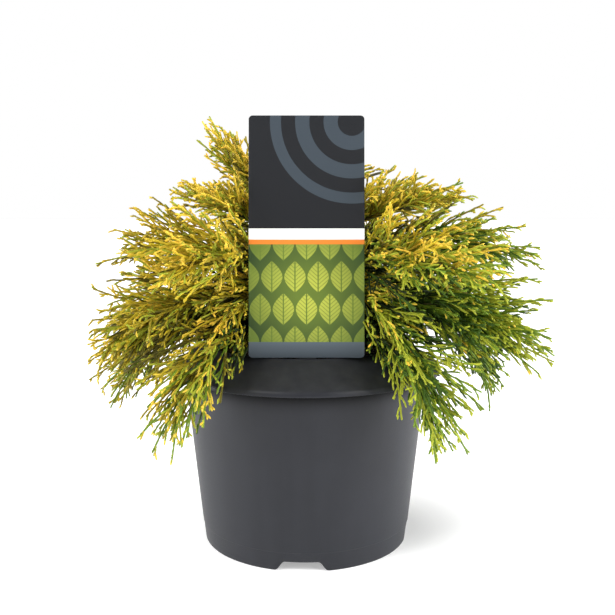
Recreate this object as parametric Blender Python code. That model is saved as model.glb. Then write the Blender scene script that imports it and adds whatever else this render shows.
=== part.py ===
"""Potted golden threadleaf sawara cypress, about 0.29 m tall and 0.31 m wide.

A low mop of drooping threads stands in a 190 mm nursery pot with a sloping brim, behind a stiff
plant label. The frame is in metres, +Z up, with its origin under the middle of the pot. The label
faces -Y. Every thread of the crown grows by one seeded rule from the stem of its own mass.
"""
import math
from collections import namedtuple

import bmesh
import bpy
import numpy as np
from mathutils import Matrix

MM = 0.001
GAP = 0.3 * MM
ROUND_SIDES = 36

# Pot, a moulded container whose brim slopes inwards and hangs over the wall
POT_FOOT_RADIUS = 72.4 * MM
POT_WALL_RADIUS = 85.3 * MM
POT_WALL = 1.8 * MM
BRIM_RADIUS = 95.0 * MM
BRIM_UNDERSIDE = 121.1 * MM
BRIM_LIP = 2.8 * MM
BRIM_TOP = 140.0 * MM
BRIM_MOUTH_RADIUS = 70.0 * MM
FOOT_STEP_HEIGHT = 13.0 * MM
FOOT_STEP = 0.5 * MM
FOOT_ROUNDING = 1.2 * MM
FLOOR_UNDERSIDE = 7.5 * MM
CENTRE_FOOT_RADIUS = 14.0 * MM

# Notches that let water out from under the foot, and holes in the floor
NOTCH_COUNT = 4
NOTCH_AZIMUTH = -92.1
NOTCH_HEIGHT = 6.3 * MM
NOTCH_TOP_WIDTH = 21.0 * MM
NOTCH_FOOT_WIDTH = 37.0 * MM
DRAIN_COUNT = 6
DRAIN_RADIUS = 4.5 * MM
DRAIN_RING_RADIUS = 48.0 * MM

# Compost inside the pot
SOIL_TOP = 131.0 * MM

# Label, a leaning card whose tongue is pushed into the compost just inside the mouth
LABEL_WIDTH = 73.5 * MM
LABEL_CENTRE_X = 0.7 * MM
LABEL_FOOT_Y = -66.6 * MM
LABEL_FOOT_Z = 140.5 * MM
LABEL_TOP_Z = 292.8 * MM
LABEL_THICKNESS = 1.0 * MM
LABEL_CORNER = 2.5 * MM
LABEL_LEAN = 8.0
TONGUE_WIDTH = 12.0 * MM
TONGUE_LENGTH = 70.0 * MM

# Trunk, flared at the compost and leaning a little to the left and back
TRUNK_FOOT_RADIUS = 10.0 * MM
TRUNK_RADIUS = 6.6 * MM
TRUNK_TIP_RADIUS = 1.6 * MM
TRUNK_TOP = 262.0 * MM
TRUNK_FOOT_X = 2.0 * MM
TRUNK_FOOT_Y = 5.0 * MM
TRUNK_LEAN_X = -12.0 * MM
TRUNK_LEAN_Y = 7.0 * MM
TRUNK_BEND = 3.0 * MM
FLARE_HEIGHT = 14.0 * MM
TRUNK_SIDES = 10

# Crown: each tier is a ring of boughs, the lower ones arching over to hanging tips. Its lid is how
# far above the crown's middle its threads may rise, and every length and height is in millimetres
Tier = namedtuple(
    "Tier", "name count first last root stagger crest_reach crest tip_reach tip bough spread fall thick lid"
)
TIERS = (
    Tier("skirt", 6, -50, 232, 142, 7, 100, 180, 126, 103, 0.40, 42, 0.20, 2.8, 105),
    Tier("lower", 6, -26, 206, 158, 8, 84, 190, 149, 145, 0.30, 44, 0.12, 2.8, 105),
    Tier("cheek", 2, -54, 230, 170, 4, 44, 196, 88, 160, 0.34, 46, 0.18, 2.2, 105),
    Tier("middle", 6, -50, 230, 182, 8, 72, 212, 146, 199, 0.26, 44, 0.06, 2.6, 105),
    Tier("upper", 5, -38, 218, 202, 10, 48, 232, 104, 238, 0.24, 44, 0.0, 2.1, 105),
    Tier("breast", 1, -88, -88, 152, 0, 36, 200, 50, 158, 0.45, 40, 0.30, 2.2, 105),
    Tier("brow", 1, -84, -84, 198, 0, 34, 250, 50, 216, 0.40, 40, 0.20, 2.0, 105),
    Tier("tuft", 1, 172, 172, 222, 0, 32, 238, 64, 280, 0.0, 30, -0.10, 2.0, 140),
    Tier("top", 1, 22, 22, 240, 0, 26, 250, 66, 262, 0.0, 42, 0.0, 2.0, 105),
)
CROWN_REACH = 156.0 * MM
CROWN_CENTRE_X = 9.0 * MM
CROWN_MIDDLE = 160.0 * MM
CROWN_DOWN = 105.0 * MM
CROWN_LEAN = 0.15
CROWN_FULLNESS = 2.8
CROWN_MARGIN = 6.0 * MM
CROWN_HEART = np.array((0.0, 5.0, 162.0)) * MM
OUTWARD_PULL = 0.75
REACH_VARIATION = 0.06

BOUGH_TIP_RADIUS = 1.7 * MM
BOUGH_SIDES = 5
LIMB_RINGS = 4
STEM_TIP_RADIUS = 0.9 * MM
STEM_RINGS = 5
CORE_RADIUS = 8.0 * MM
CORE_SIDES = 5
THREADS_PER_MASS = 7
THREAD_RADIUS = 2.4 * MM
THREAD_TIP_RADIUS = 0.8 * MM
THREAD_SHARE = 0.78
SIDE_THREADS = 2
SIDE_THREAD_SHARE = 0.50
SIDE_THREAD_ANGLE = 38.0
SIDE_THREAD_RADIUS = 1.7 * MM
SIDE_THREAD_FALL = 0.2
GROWING_TRIES = 5
SHORTER = 0.82
GOLDEN_ANGLE = 137.5
CROWN_SEED = 27

POT_GREY = (0.062, 0.066, 0.074)
SOIL_BROWN = (0.030, 0.020, 0.013)
LABEL_GREY = (0.055, 0.062, 0.068)
BARK_BROWN = (0.140, 0.078, 0.045)
GOLD_GREEN = (0.520, 0.430, 0.030)

UP = np.array((0.0, 0.0, 1.0))


def clear_scene():
    for thing in list(bpy.data.objects):
        bpy.data.objects.remove(thing, do_unlink=True)


def plain_material(name, colour, roughness):
    material = bpy.data.materials.new(name)
    material.use_nodes = True
    shader = material.node_tree.nodes["Principled BSDF"]
    shader.inputs["Base Color"].default_value = (*colour, 1.0)
    shader.inputs["Roughness"].default_value = roughness
    shader.inputs["Metallic"].default_value = 0.0
    return material


def add_object(name, shape, material=None, sharp_angle=40.0):
    """Turn a bmesh into a named object in the scene, shaded smooth below sharp_angle."""
    mesh = bpy.data.meshes.new(name)
    shape.to_mesh(mesh)
    shape.free()
    mesh.shade_smooth()
    mesh.set_sharp_from_angle(angle=math.radians(sharp_angle))
    thing = bpy.data.objects.new(name, mesh)
    if material:
        mesh.materials.append(material)
    bpy.context.scene.collection.objects.link(thing)
    return thing


def apply_modifiers(thing):
    """Replace the object's mesh by its evaluated one."""
    graph = bpy.context.evaluated_depsgraph_get()
    result = bpy.data.meshes.new_from_object(thing.evaluated_get(graph))
    old = thing.data
    thing.modifiers.clear()
    thing.data = result
    bpy.data.meshes.remove(old)


def turned(profile, sides):
    """Spin an outline of (radius, height) points, which starts and ends on the axis, round Z."""
    shape = bmesh.new()
    verts = [shape.verts.new((radius, 0.0, height)) for radius, height in profile]
    edges = [shape.edges.new(pair) for pair in zip(verts, verts[1:])]
    bmesh.ops.spin(shape, geom=verts + edges, axis=(0, 0, 1), cent=(0, 0, 0),
                   angle=2 * math.pi, steps=sides, use_merge=True)
    bmesh.ops.remove_doubles(shape, verts=shape.verts, dist=1e-6)
    bmesh.ops.recalc_face_normals(shape, faces=shape.faces)
    return shape


def extruded(outline, depth):
    """Close an outline in the XZ plane and give it a depth centred on Y = 0."""
    shape = bmesh.new()
    verts = [shape.verts.new((x, -depth / 2, z)) for x, z in outline]
    face = shape.faces.new(verts)
    grown = bmesh.ops.extrude_face_region(shape, geom=[face])["geom"]
    moved = [item for item in grown if isinstance(item, bmesh.types.BMVert)]
    bmesh.ops.translate(shape, verts=moved, vec=(0, depth, 0))
    bmesh.ops.recalc_face_normals(shape, faces=shape.faces)
    return shape


def arc(centre, radius, start, end, steps):
    """Points on an arc, with its angles in degrees."""
    angles = np.radians(np.linspace(start, end, steps + 1))
    return [(centre[0] + radius * math.cos(a), centre[1] + radius * math.sin(a)) for a in angles]


def add_cutter(target, cutter):
    """Subtract a guide object from the target."""
    cutter.hide_render = True
    cutter.display_type = "WIRE"
    cut = target.modifiers.new(cutter.name, "BOOLEAN")
    cut.operation = "DIFFERENCE"
    cut.object = cutter


# Pot

def brim_height(radius):
    """Height of the brim's sloping top at a radius."""
    slope = (BRIM_TOP - BRIM_UNDERSIDE - BRIM_LIP) / (BRIM_RADIUS - BRIM_MOUTH_RADIUS)
    return BRIM_TOP - slope * (radius - BRIM_MOUTH_RADIUS)


def wall_radius(height):
    """Outer radius of the pot's tapering wall."""
    return POT_FOOT_RADIUS + (POT_WALL_RADIUS - POT_FOOT_RADIUS) * height / BRIM_UNDERSIDE


BRIM_SHEET = POT_WALL / math.cos(math.atan2(BRIM_TOP - BRIM_UNDERSIDE - BRIM_LIP,
                                            BRIM_RADIUS - BRIM_MOUTH_RADIUS))
FLOOR_TOP = FLOOR_UNDERSIDE + POT_WALL
CHAMBER_TOP_RADIUS = wall_radius(BRIM_UNDERSIDE) - POT_WALL + 1.0 * MM


def pot_profile():
    """Outline of the pot from the middle of its underside round the brim to the floor inside."""
    foot = [(0.0, 0.0), (CENTRE_FOOT_RADIUS, 0.0), (CENTRE_FOOT_RADIUS + 1.5 * MM, FLOOR_UNDERSIDE)]
    skirt = POT_FOOT_RADIUS - FOOT_STEP
    ring = [(skirt - POT_WALL - 1.0 * MM, FLOOR_UNDERSIDE), (skirt - POT_WALL, 0.0)]
    rounding = arc((skirt - FOOT_ROUNDING, FOOT_ROUNDING), FOOT_ROUNDING, -90, 0, 2)
    step = [(wall_radius(FOOT_STEP_HEIGHT) - FOOT_STEP, FOOT_STEP_HEIGHT),
            (wall_radius(FOOT_STEP_HEIGHT), FOOT_STEP_HEIGHT + FOOT_STEP)]
    under = POT_WALL_RADIUS + 0.6 * MM
    hang = BRIM_RADIUS - POT_WALL
    brim = [(under, brim_height(under) - BRIM_SHEET), (hang, brim_height(hang) - BRIM_SHEET),
            (hang, BRIM_UNDERSIDE), (BRIM_RADIUS, BRIM_UNDERSIDE),
            (BRIM_RADIUS, BRIM_UNDERSIDE + BRIM_LIP), (BRIM_MOUTH_RADIUS, BRIM_TOP)]
    mouth = BRIM_MOUTH_RADIUS - POT_WALL
    inside = [(mouth, BRIM_TOP), (mouth, brim_height(mouth) - BRIM_SHEET - 1.0 * MM),
              (CHAMBER_TOP_RADIUS, brim_height(CHAMBER_TOP_RADIUS) - BRIM_SHEET),
              (wall_radius(FLOOR_TOP) - POT_WALL, FLOOR_TOP), (0.0, FLOOR_TOP)]
    return foot + ring + rounding + step + brim + inside


def notch_outline():
    """Half-rounded trapezium of a notch, open below the foot."""
    half_foot = NOTCH_FOOT_WIDTH / 2
    half_top = NOTCH_TOP_WIDTH / 2
    rounding = NOTCH_HEIGHT * 0.6
    right = [(half_foot, -rounding)] + arc((half_foot, rounding), rounding, -90, -150, 3)
    right += [(half_top, NOTCH_HEIGHT)]
    left = [(-x, z) for x, z in reversed(right)]
    return right + left


def make_pot():
    pot = add_object("pot", turned(pot_profile(), ROUND_SIDES),
                     plain_material("pot_plastic", POT_GREY, 0.48))
    for number in range(NOTCH_COUNT):
        cutter = add_object(f"notch_guide_{number}", extruded(notch_outline(), 14 * MM))
        azimuth = math.radians(NOTCH_AZIMUTH + number * 360 / NOTCH_COUNT)
        cutter.location = (POT_FOOT_RADIUS * math.cos(azimuth), POT_FOOT_RADIUS * math.sin(azimuth), 0)
        cutter.rotation_euler = (0, 0, azimuth + math.pi / 2)
        add_cutter(pot, cutter)
    for number in range(DRAIN_COUNT):
        azimuth = math.radians((number + 0.5) * 360 / DRAIN_COUNT)
        place = Matrix.Translation((DRAIN_RING_RADIUS * math.cos(azimuth),
                                    DRAIN_RING_RADIUS * math.sin(azimuth), FLOOR_UNDERSIDE))
        drill = bmesh.new()
        bmesh.ops.create_cone(drill, cap_ends=True, segments=8, radius1=DRAIN_RADIUS,
                              radius2=DRAIN_RADIUS, depth=6 * MM, matrix=place)
        add_cutter(pot, add_object(f"drain_guide_{number}", drill))
    return pot


def soil_profile():
    """Compost that fills the pot to SOIL_TOP, a gap inside its walls."""
    foot = wall_radius(FLOOR_TOP) - POT_WALL - 2 * GAP
    shoulder_z = brim_height(CHAMBER_TOP_RADIUS) - BRIM_SHEET - 2 * GAP
    shoulder = CHAMBER_TOP_RADIUS - 2 * GAP
    slope = (brim_height(0.0) - BRIM_TOP) / BRIM_MOUTH_RADIUS
    top = shoulder - max(0.0, SOIL_TOP - shoulder_z) / slope - GAP
    return [(0.0, FLOOR_TOP + GAP), (foot, FLOOR_TOP + GAP), (shoulder, shoulder_z - GAP),
            (top, SOIL_TOP), (0.0, SOIL_TOP)]


# Label

def label_outline(margin=0.0):
    """Card with round corners and a pointed tongue, measured up the card from its lower edge."""
    half = LABEL_WIDTH / 2
    height = (LABEL_TOP_Z - LABEL_FOOT_Z) / math.cos(math.radians(LABEL_LEAN))
    tongue = TONGUE_WIDTH / 2 + margin
    corner = LABEL_CORNER
    outline = arc((half - corner, corner), corner, -90, 0, 3)
    outline += arc((half - corner, height - corner), corner, 0, 90, 3)
    outline += arc((corner - half, height - corner), corner, 90, 180, 3)
    outline += arc((corner - half, corner), corner, 180, 270, 3)
    shoulder = TONGUE_LENGTH * 0.75
    outline += [(-tongue, 0.0), (-tongue, -shoulder), (0.0, -TONGUE_LENGTH - 2 * margin),
                (tongue, -shoulder), (tongue, 0.0)]
    return outline


def place_label(thing):
    """Lean a card that was drawn upright back over the mouth's front edge."""
    thing.location = (LABEL_CENTRE_X, LABEL_FOOT_Y, LABEL_FOOT_Z)
    thing.rotation_euler = (-math.radians(LABEL_LEAN), 0, 0)


def make_label_and_soil():
    label = add_object("label", extruded(label_outline(), LABEL_THICKNESS),
                       plain_material("label_card", LABEL_GREY, 0.40))
    place_label(label)
    soil = add_object("soil", turned(soil_profile(), ROUND_SIDES),
                      plain_material("soil_compost", SOIL_BROWN, 0.95))
    slot = add_object("slot_guide", extruded(label_outline(GAP), LABEL_THICKNESS + 2 * GAP))
    place_label(slot)
    add_cutter(soil, slot)


# Limbs and the clear space between them

def unit(vector):
    return vector / np.linalg.norm(vector)


def direction(azimuth):
    angle = math.radians(azimuth)
    return np.array((math.cos(angle), math.sin(angle), 0.0))


def tube(shape, points, radii, sides, first=None, last=None):
    """Skin a path with rings of the given radii and close both ends.

    The first and last ring face the directions first and last where these are given.
    """
    points = np.asarray(points, float)
    tangents = np.gradient(points, axis=0)
    tangents[0] = tangents[0] if first is None else first
    tangents[-1] = tangents[-1] if last is None else last
    side = np.cross(tangents[0], UP if abs(unit(tangents[0])[2]) < 0.9 else np.array((1.0, 0, 0)))
    rings = []
    for point, tangent, radius in zip(points, tangents, radii):
        tangent = unit(tangent)
        side = unit(side - tangent * np.dot(side, tangent))
        other = np.cross(tangent, side)
        turn = 2 * math.pi / sides
        rings.append([shape.verts.new(point + radius * (math.cos(k * turn) * side
                                                         + math.sin(k * turn) * other))
                      for k in range(sides)])
    for lower, upper in zip(rings, rings[1:]):
        for k in range(sides):
            m = (k + 1) % sides
            shape.faces.new((lower[k], lower[m], upper[m], upper[k]))
    shape.faces.new(rings[0][::-1])
    shape.faces.new(rings[-1])
    return shape


def trunk_centre(height):
    """Trunk's axis: a straight lean with one shallow bend."""
    share = (height - SOIL_TOP) / (TRUNK_TOP - SOIL_TOP)
    bend = TRUNK_BEND * math.sin(2 * math.pi * share)
    return np.array((TRUNK_FOOT_X + TRUNK_LEAN_X * share + bend,
                     TRUNK_FOOT_Y + TRUNK_LEAN_Y * share - bend * 0.5, height))


def trunk_radius(height):
    """Trunk's radius: a root flare that dies out above the soil, then an even taper."""
    share = (height - SOIL_TOP) / (TRUNK_TOP - SOIL_TOP)
    flare = (TRUNK_FOOT_RADIUS - TRUNK_RADIUS) * math.exp(-(height - SOIL_TOP) / FLARE_HEIGHT * 2.5)
    return TRUNK_RADIUS + (TRUNK_TIP_RADIUS - TRUNK_RADIUS) * share + flare


def crown_centre(height):
    """Middle of the crown in X: offset to the right, and less and less so below its middle."""
    return CROWN_CENTRE_X + CROWN_LEAN * np.minimum(height - CROWN_MIDDLE, 0.0)


def path_distance(places, path):
    """Distance from each place to the nearest point of a path of straight segments."""
    starts = path[:-1][None]
    runs = (path[1:] - path[:-1])[None]
    offsets = places[:, None] - starts
    share = np.clip((offsets * runs).sum(2) / (runs * runs).sum(2), 0.0, 1.0)
    return np.linalg.norm(offsets - share[..., None] * runs, axis=2).min(1)


class Bough:
    """One arching limb from the trunk's axis: first a bare bough, then the stem of a mass."""

    def __init__(self, tier, number, chance):
        steps = max(tier.count - 1, 1)
        self.name = f"{tier.name}_{number + 1}"
        self.azimuth = tier.first + (tier.last - tier.first) * number / steps
        out = direction(self.azimuth)
        root_z = (tier.root + chance.uniform(-2, 2) + tier.stagger * (number % 2)) * MM
        reach = tier.tip_reach * MM * (1 + chance.uniform(-1, 1) * REACH_VARIATION)
        tip_z = (tier.tip + chance.uniform(-6, 6) * (tier.count > 1)) * MM
        self.root_share = tier.bough
        self.spread = tier.spread
        self.fall = tier.fall
        self.lid = tier.lid * MM
        self.radius = tier.thick * MM
        centre = trunk_centre(root_z)
        shift = np.array((crown_centre(tip_z) * reach / CROWN_REACH, 0.0, 0.0))
        crest = shift / 2 + out * tier.crest_reach * MM + UP * tier.crest * MM
        tip = shift + out * reach + UP * tip_z
        self.bend = (centre, crest, tip)

    def at(self, share):
        share = np.asarray(share, float)[..., None]
        root, crest, tip = self.bend
        return (1 - share) ** 2 * root + 2 * share * (1 - share) * crest + share**2 * tip

    def joint_direction(self):
        """Direction of the curve where the bare bough ends and the mass's stem begins."""
        root, crest, tip = self.bend
        share = self.root_share
        return unit((1 - share) * (crest - root) + share * (tip - crest))

    def is_bare(self):
        """True where a bare bough carries the mass, and not the trunk itself."""
        return self.root_share > 0

    def limb(self):
        """Path of the bare bough, or None where the mass grows straight from the trunk."""
        if not self.is_bare():
            return None
        return self.at(np.linspace(0.0, self.root_share, LIMB_RINGS))

    def stem(self):
        """Path of the mass's own stem, which starts a gap beyond the bough's tip."""
        path = self.at(np.linspace(self.root_share, 1.0, STEM_RINGS))
        if self.is_bare():
            path[0] += self.joint_direction() * GAP
        return path


class Crown:
    """All boughs, and the rule that keeps every thread in the space of its own mass."""

    def __init__(self):
        chance = np.random.default_rng(CROWN_SEED)
        self.boughs = [Bough(tier, number, chance) for tier in TIERS for number in range(tier.count)]
        self.stems = [bough.stem() for bough in self.boughs]
        self.limbs = [bough.limb() for bough in self.boughs]
        heights = np.linspace(SOIL_TOP, TRUNK_TOP, 14)
        self.trunk = np.array([trunk_centre(height) for height in heights])

    def limb_distance(self, places):
        """Distance from each place to the bark of the nearest limb."""
        share = np.clip((places[:, 2] - SOIL_TOP) / (TRUNK_TOP - SOIL_TOP), 0.0, 1.0)
        thickness = TRUNK_RADIUS + (TRUNK_TIP_RADIUS - TRUNK_RADIUS) * share + 0.6 * MM
        nearest = path_distance(places, self.trunk) - thickness
        for bough, limb in zip(self.boughs, self.limbs):
            if limb is not None:
                nearest = np.minimum(nearest, path_distance(places, limb) - bough.radius)
        return nearest

    def room(self, places, owner):
        """How far each place is from leaving its mass's space or touching something."""
        own = path_distance(places, self.stems[owner])
        others = [path_distance(places, stem) for k, stem in enumerate(self.stems) if k != owner]
        between = (np.min(others, axis=0) - own) / 2
        x, y, z = places.T
        radius = np.hypot(x, y)
        roof = np.where(radius < BRIM_MOUTH_RADIUS, BRIM_TOP, brim_height(radius))
        over_pot = np.maximum((z - roof) * 0.84, radius - BRIM_RADIUS)
        card_y = LABEL_FOOT_Y + (z - LABEL_FOOT_Z) * math.tan(math.radians(LABEL_LEAN))
        beside_label = np.maximum(y - card_y - LABEL_THICKNESS,
                                  abs(x - LABEL_CENTRE_X) - LABEL_WIDTH / 2)
        beside_label = np.maximum(beside_label, z - LABEL_TOP_Z)
        half = np.where(z > CROWN_MIDDLE, self.boughs[owner].lid, CROWN_DOWN)
        level = np.minimum(abs(z - CROWN_MIDDLE) / half, 1.0)
        reach = CROWN_REACH * (1 - level**CROWN_FULLNESS) ** (1 / CROWN_FULLNESS)
        inside = reach - np.hypot(x - crown_centre(z), y) + CROWN_MARGIN
        return np.min([between, over_pot, beside_label, inside, LABEL_TOP_Z - z], axis=0)

    def fits(self, path, radii, owner, sunk):
        """True where a thread past its sunk root keeps a gap to everything round its mass."""
        shares = np.linspace(0, len(path) - 1, 4 * len(path))
        places = np.stack([np.interp(shares, range(len(path)), path[:, k]) for k in range(3)], 1)
        thick = np.interp(shares, range(len(path)), radii) + GAP
        free = self.room(places, owner) >= thick
        bare = self.limb_distance(places) >= thick
        return bool(np.all(free) and np.all(bare[sunk:]))


def droop(root, heading, length, fall, count):
    """Path that leaves along its heading and falls away with the square of the way along it."""
    share = np.linspace(0.0, 1.0, count)[:, None]
    return root + heading * length * share - UP * fall * length * share**2


def core_radii(crown, owner, stem):
    """Radii of the mass's dense middle: a spindle that keeps clear of what is round it."""
    share = np.linspace(0.0, 1.0, len(stem))
    spindle = STEM_TIP_RADIUS + CORE_RADIUS * np.sin(math.pi * share**0.75) ** 0.8
    spindle[0] = BOUGH_TIP_RADIUS
    room = np.minimum(crown.room(stem, owner), crown.limb_distance(stem)) - 2 * GAP
    room[0] = BOUGH_TIP_RADIUS
    return np.clip(np.minimum(spindle, room), STEM_TIP_RADIUS, CORE_RADIUS)


def grow_threads(crown, owner, chance):
    """Threads and side threads of one mass, as (path, radii) pairs."""
    bough = crown.boughs[owner]
    stem = crown.stems[owner]
    stem_length = np.linalg.norm(np.diff(stem, axis=0), axis=1).sum()
    grown = []
    for number in range(THREADS_PER_MASS):
        share = 0.10 + 0.82 * (number + chance.uniform(0.2, 0.8)) / THREADS_PER_MASS
        where = share * (len(stem) - 1)
        step = min(int(where), len(stem) - 2)
        root = stem[step] + (stem[step + 1] - stem[step]) * (where - step)
        along = unit(stem[step + 1] - stem[step])
        level = unit(np.cross(along, UP))
        turn = math.radians(number * GOLDEN_ANGLE + chance.uniform(-20, 20))
        sideways = level * math.cos(turn) + np.cross(level, along) * math.sin(turn) * 0.8
        spread = math.radians(bough.spread + chance.uniform(-8, 8)) * (1.25 - 0.5 * share)
        heading = unit(along * math.cos(spread) + sideways * math.sin(spread))
        heading = unit(heading + unit(root - CROWN_HEART) * OUTWARD_PULL)
        length = stem_length * THREAD_SHARE * (1.0 - 0.35 * share) * chance.uniform(0.85, 1.15)
        radii = np.linspace(THREAD_RADIUS, THREAD_TIP_RADIUS, 4)
        for _ in range(GROWING_TRIES):
            path = droop(root, heading, length, bough.fall, 4)
            if crown.fits(path, radii, owner, 3):
                grown.append((path, radii))
                grown += side_threads(crown, owner, path, chance)
                break
            length *= SHORTER
    return grown


def side_threads(crown, owner, path, chance):
    """Short threads that fork off a thread to either side in turn."""
    length = np.linalg.norm(np.diff(path, axis=0), axis=1).sum()
    forks = []
    for number in range(SIDE_THREADS):
        share = 0.30 + 0.52 * number / max(SIDE_THREADS - 1, 1)
        where = share * (len(path) - 1)
        step = min(int(where), len(path) - 2)
        root = path[step] + (path[step + 1] - path[step]) * (where - step)
        along = unit(path[step + 1] - path[step])
        sign = 1 if number % 2 else -1
        angle = math.radians(SIDE_THREAD_ANGLE + chance.uniform(-6, 6))
        level = unit(np.cross(along, UP) + UP * chance.uniform(-0.35, 0.35))
        heading = unit(along * math.cos(angle) + sign * level * math.sin(angle))
        reach = length * SIDE_THREAD_SHARE * (1.1 - 0.5 * share)
        branch = droop(root - heading * THREAD_TIP_RADIUS * 0.5, heading, reach, SIDE_THREAD_FALL, 2)
        radii = np.array((SIDE_THREAD_RADIUS * (1.1 - 0.5 * share), THREAD_TIP_RADIUS * 0.7))
        if crown.fits(branch, radii, owner, 1):
            forks.append((branch, radii))
    return forks


def largest_shell(shape):
    """Keep the biggest closed shell, which fills sealed hollows and drops loose scraps."""
    unseen = set(shape.faces)
    shells = []
    while unseen:
        shell = {unseen.pop()}
        edge_of_growth = set(shell)
        while edge_of_growth:
            near = {other for face in edge_of_growth for edge in face.edges
                    for other in edge.link_faces}
            edge_of_growth = near & unseen
            unseen -= edge_of_growth
            shell |= edge_of_growth
        shells.append(shell)
    keep = max(shells, key=lambda shell: sum(face.calc_area() for face in shell))
    spare = [face for shell in shells if shell is not keep for face in shell]
    bmesh.ops.delete(shape, geom=spare, context="FACES")
    loose = [vert for vert in shape.verts if not vert.link_faces]
    bmesh.ops.delete(shape, geom=loose, context="VERTS")


def make_mass(crown, owner, material, trunk_guide):
    """Join a mass's core with its threads by one union, and cut it clear of the trunk."""
    chance = np.random.default_rng(CROWN_SEED + 100 + owner)
    stem = crown.stems[owner]
    name = f"foliage_{crown.boughs[owner].name}"
    core = tube(bmesh.new(), stem, core_radii(crown, owner, stem), CORE_SIDES,
                first=crown.boughs[owner].joint_direction())
    bmesh.ops.triangulate(core, faces=core.faces)
    mass = add_object(name, core, material)
    sprays = bpy.data.collections.new("sprays")
    for number, (path, radii) in enumerate(grow_threads(crown, owner, chance)):
        thread = tube(bmesh.new(), path, radii, 3)
        bmesh.ops.triangulate(thread, faces=thread.faces)
        mesh = bpy.data.meshes.new(f"spray_{number}")
        thread.to_mesh(mesh)
        thread.free()
        sprays.objects.link(bpy.data.objects.new(mesh.name, mesh))
    bpy.context.scene.collection.children.link(sprays)
    union = mass.modifiers.new("sprays", "BOOLEAN")
    union.operation = "UNION"
    union.operand_type = "COLLECTION"
    union.collection = sprays
    union.solver = "MANIFOLD"
    apply_modifiers(mass)
    for thing in list(sprays.objects):
        bpy.data.objects.remove(thing, do_unlink=True)
    bpy.data.collections.remove(sprays)
    shape = bmesh.new()
    shape.from_mesh(mass.data)
    bmesh.ops.remove_doubles(shape, verts=shape.verts, dist=1e-7)
    bmesh.ops.dissolve_degenerate(shape, edges=shape.edges, dist=1e-7)
    largest_shell(shape)
    bmesh.ops.dissolve_limit(shape, angle_limit=math.radians(0.5), verts=shape.verts,
                             edges=shape.edges)
    bmesh.ops.triangulate(shape, faces=shape.faces)
    shape.to_mesh(mass.data)
    shape.free()
    if not crown.boughs[owner].is_bare():
        add_cutter(mass, trunk_guide)


def trunk_shape(margin):
    """Trunk with its root flare and a level foot, thicker and longer by a margin."""
    heights = np.concatenate((SOIL_TOP + GAP + np.array((0.0, 3.0, 8.0)) * MM,
                              np.linspace(SOIL_TOP + 20 * MM, TRUNK_TOP + margin, 7)))
    path = np.array([trunk_centre(height) for height in heights])
    radii = [trunk_radius(height) + margin for height in heights]
    shape = tube(bmesh.new(), path, radii, TRUNK_SIDES)
    for vert in shape.verts:
        if vert.co.z < SOIL_TOP + 2 * MM:
            vert.co.z = SOIL_TOP + GAP
    return shape


def make_boughs(crown, material, trunk_guide):
    """Bare boughs, each cut a gap clear of the bark it springs from."""
    for bough, limb in zip(crown.boughs, crown.limbs):
        if limb is not None:
            radii = np.linspace(bough.radius, BOUGH_TIP_RADIUS, len(limb))
            shape = tube(bmesh.new(), limb, radii, BOUGH_SIDES, last=bough.joint_direction())
            add_cutter(add_object(f"bough_{bough.name}", shape, material), trunk_guide)


def main():
    clear_scene()
    make_pot()
    make_label_and_soil()
    bark = plain_material("bark", BARK_BROWN, 0.85)
    foliage = plain_material("foliage", GOLD_GREEN, 0.55)
    crown = Crown()
    add_object("trunk", trunk_shape(0.0), bark)
    trunk_guide = add_object("trunk_guide", trunk_shape(GAP))
    trunk_guide.hide_render = True
    make_boughs(crown, bark, trunk_guide)
    for owner in range(len(crown.boughs)):
        make_mass(crown, owner, foliage, trunk_guide)


main()
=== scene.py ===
# %% [markdown]
# # A potted golden threadleaf cypress
#
# The plant is a low mop of fine threads in a charcoal nursery pot, with a stiff plant label in
# front. The construction model gives a fixed frame: the pot, the compost, the label, the trunk,
# 27 bare boughs and 29 coarse masses of foliage. This lesson dresses that frame, piece by piece,
# with surfaces that numpy works out as whole arrays. All lengths are metres, +Z is up, and the
# origin lies under the middle of the pot.

import math
from collections import namedtuple

import bpy
import numpy as np
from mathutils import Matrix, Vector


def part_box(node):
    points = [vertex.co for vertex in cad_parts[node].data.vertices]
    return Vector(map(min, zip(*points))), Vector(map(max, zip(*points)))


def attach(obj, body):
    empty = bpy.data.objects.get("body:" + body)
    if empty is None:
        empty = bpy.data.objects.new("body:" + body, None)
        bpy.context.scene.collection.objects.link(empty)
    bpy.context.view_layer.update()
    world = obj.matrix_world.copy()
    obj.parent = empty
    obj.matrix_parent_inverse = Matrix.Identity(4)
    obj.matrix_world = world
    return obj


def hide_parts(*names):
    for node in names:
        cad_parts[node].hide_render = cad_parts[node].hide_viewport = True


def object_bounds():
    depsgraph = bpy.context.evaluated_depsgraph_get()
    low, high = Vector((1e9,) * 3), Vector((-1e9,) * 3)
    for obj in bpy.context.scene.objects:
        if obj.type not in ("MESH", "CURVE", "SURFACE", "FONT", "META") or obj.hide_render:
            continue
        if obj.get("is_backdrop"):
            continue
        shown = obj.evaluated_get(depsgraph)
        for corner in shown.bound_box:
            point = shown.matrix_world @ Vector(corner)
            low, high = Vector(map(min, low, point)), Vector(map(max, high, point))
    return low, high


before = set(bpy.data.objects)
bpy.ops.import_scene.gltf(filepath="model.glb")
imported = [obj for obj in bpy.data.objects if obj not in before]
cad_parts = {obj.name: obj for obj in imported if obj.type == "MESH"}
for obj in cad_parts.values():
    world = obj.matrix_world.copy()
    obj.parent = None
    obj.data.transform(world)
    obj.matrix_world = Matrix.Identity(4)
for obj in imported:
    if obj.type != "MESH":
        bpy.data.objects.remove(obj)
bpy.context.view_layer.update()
MM = 0.001
UP = np.array((0.0, 0.0, 1.0))
POT_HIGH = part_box("pot")[1]
SOIL_LOW, SOIL_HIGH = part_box("soil")

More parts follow.
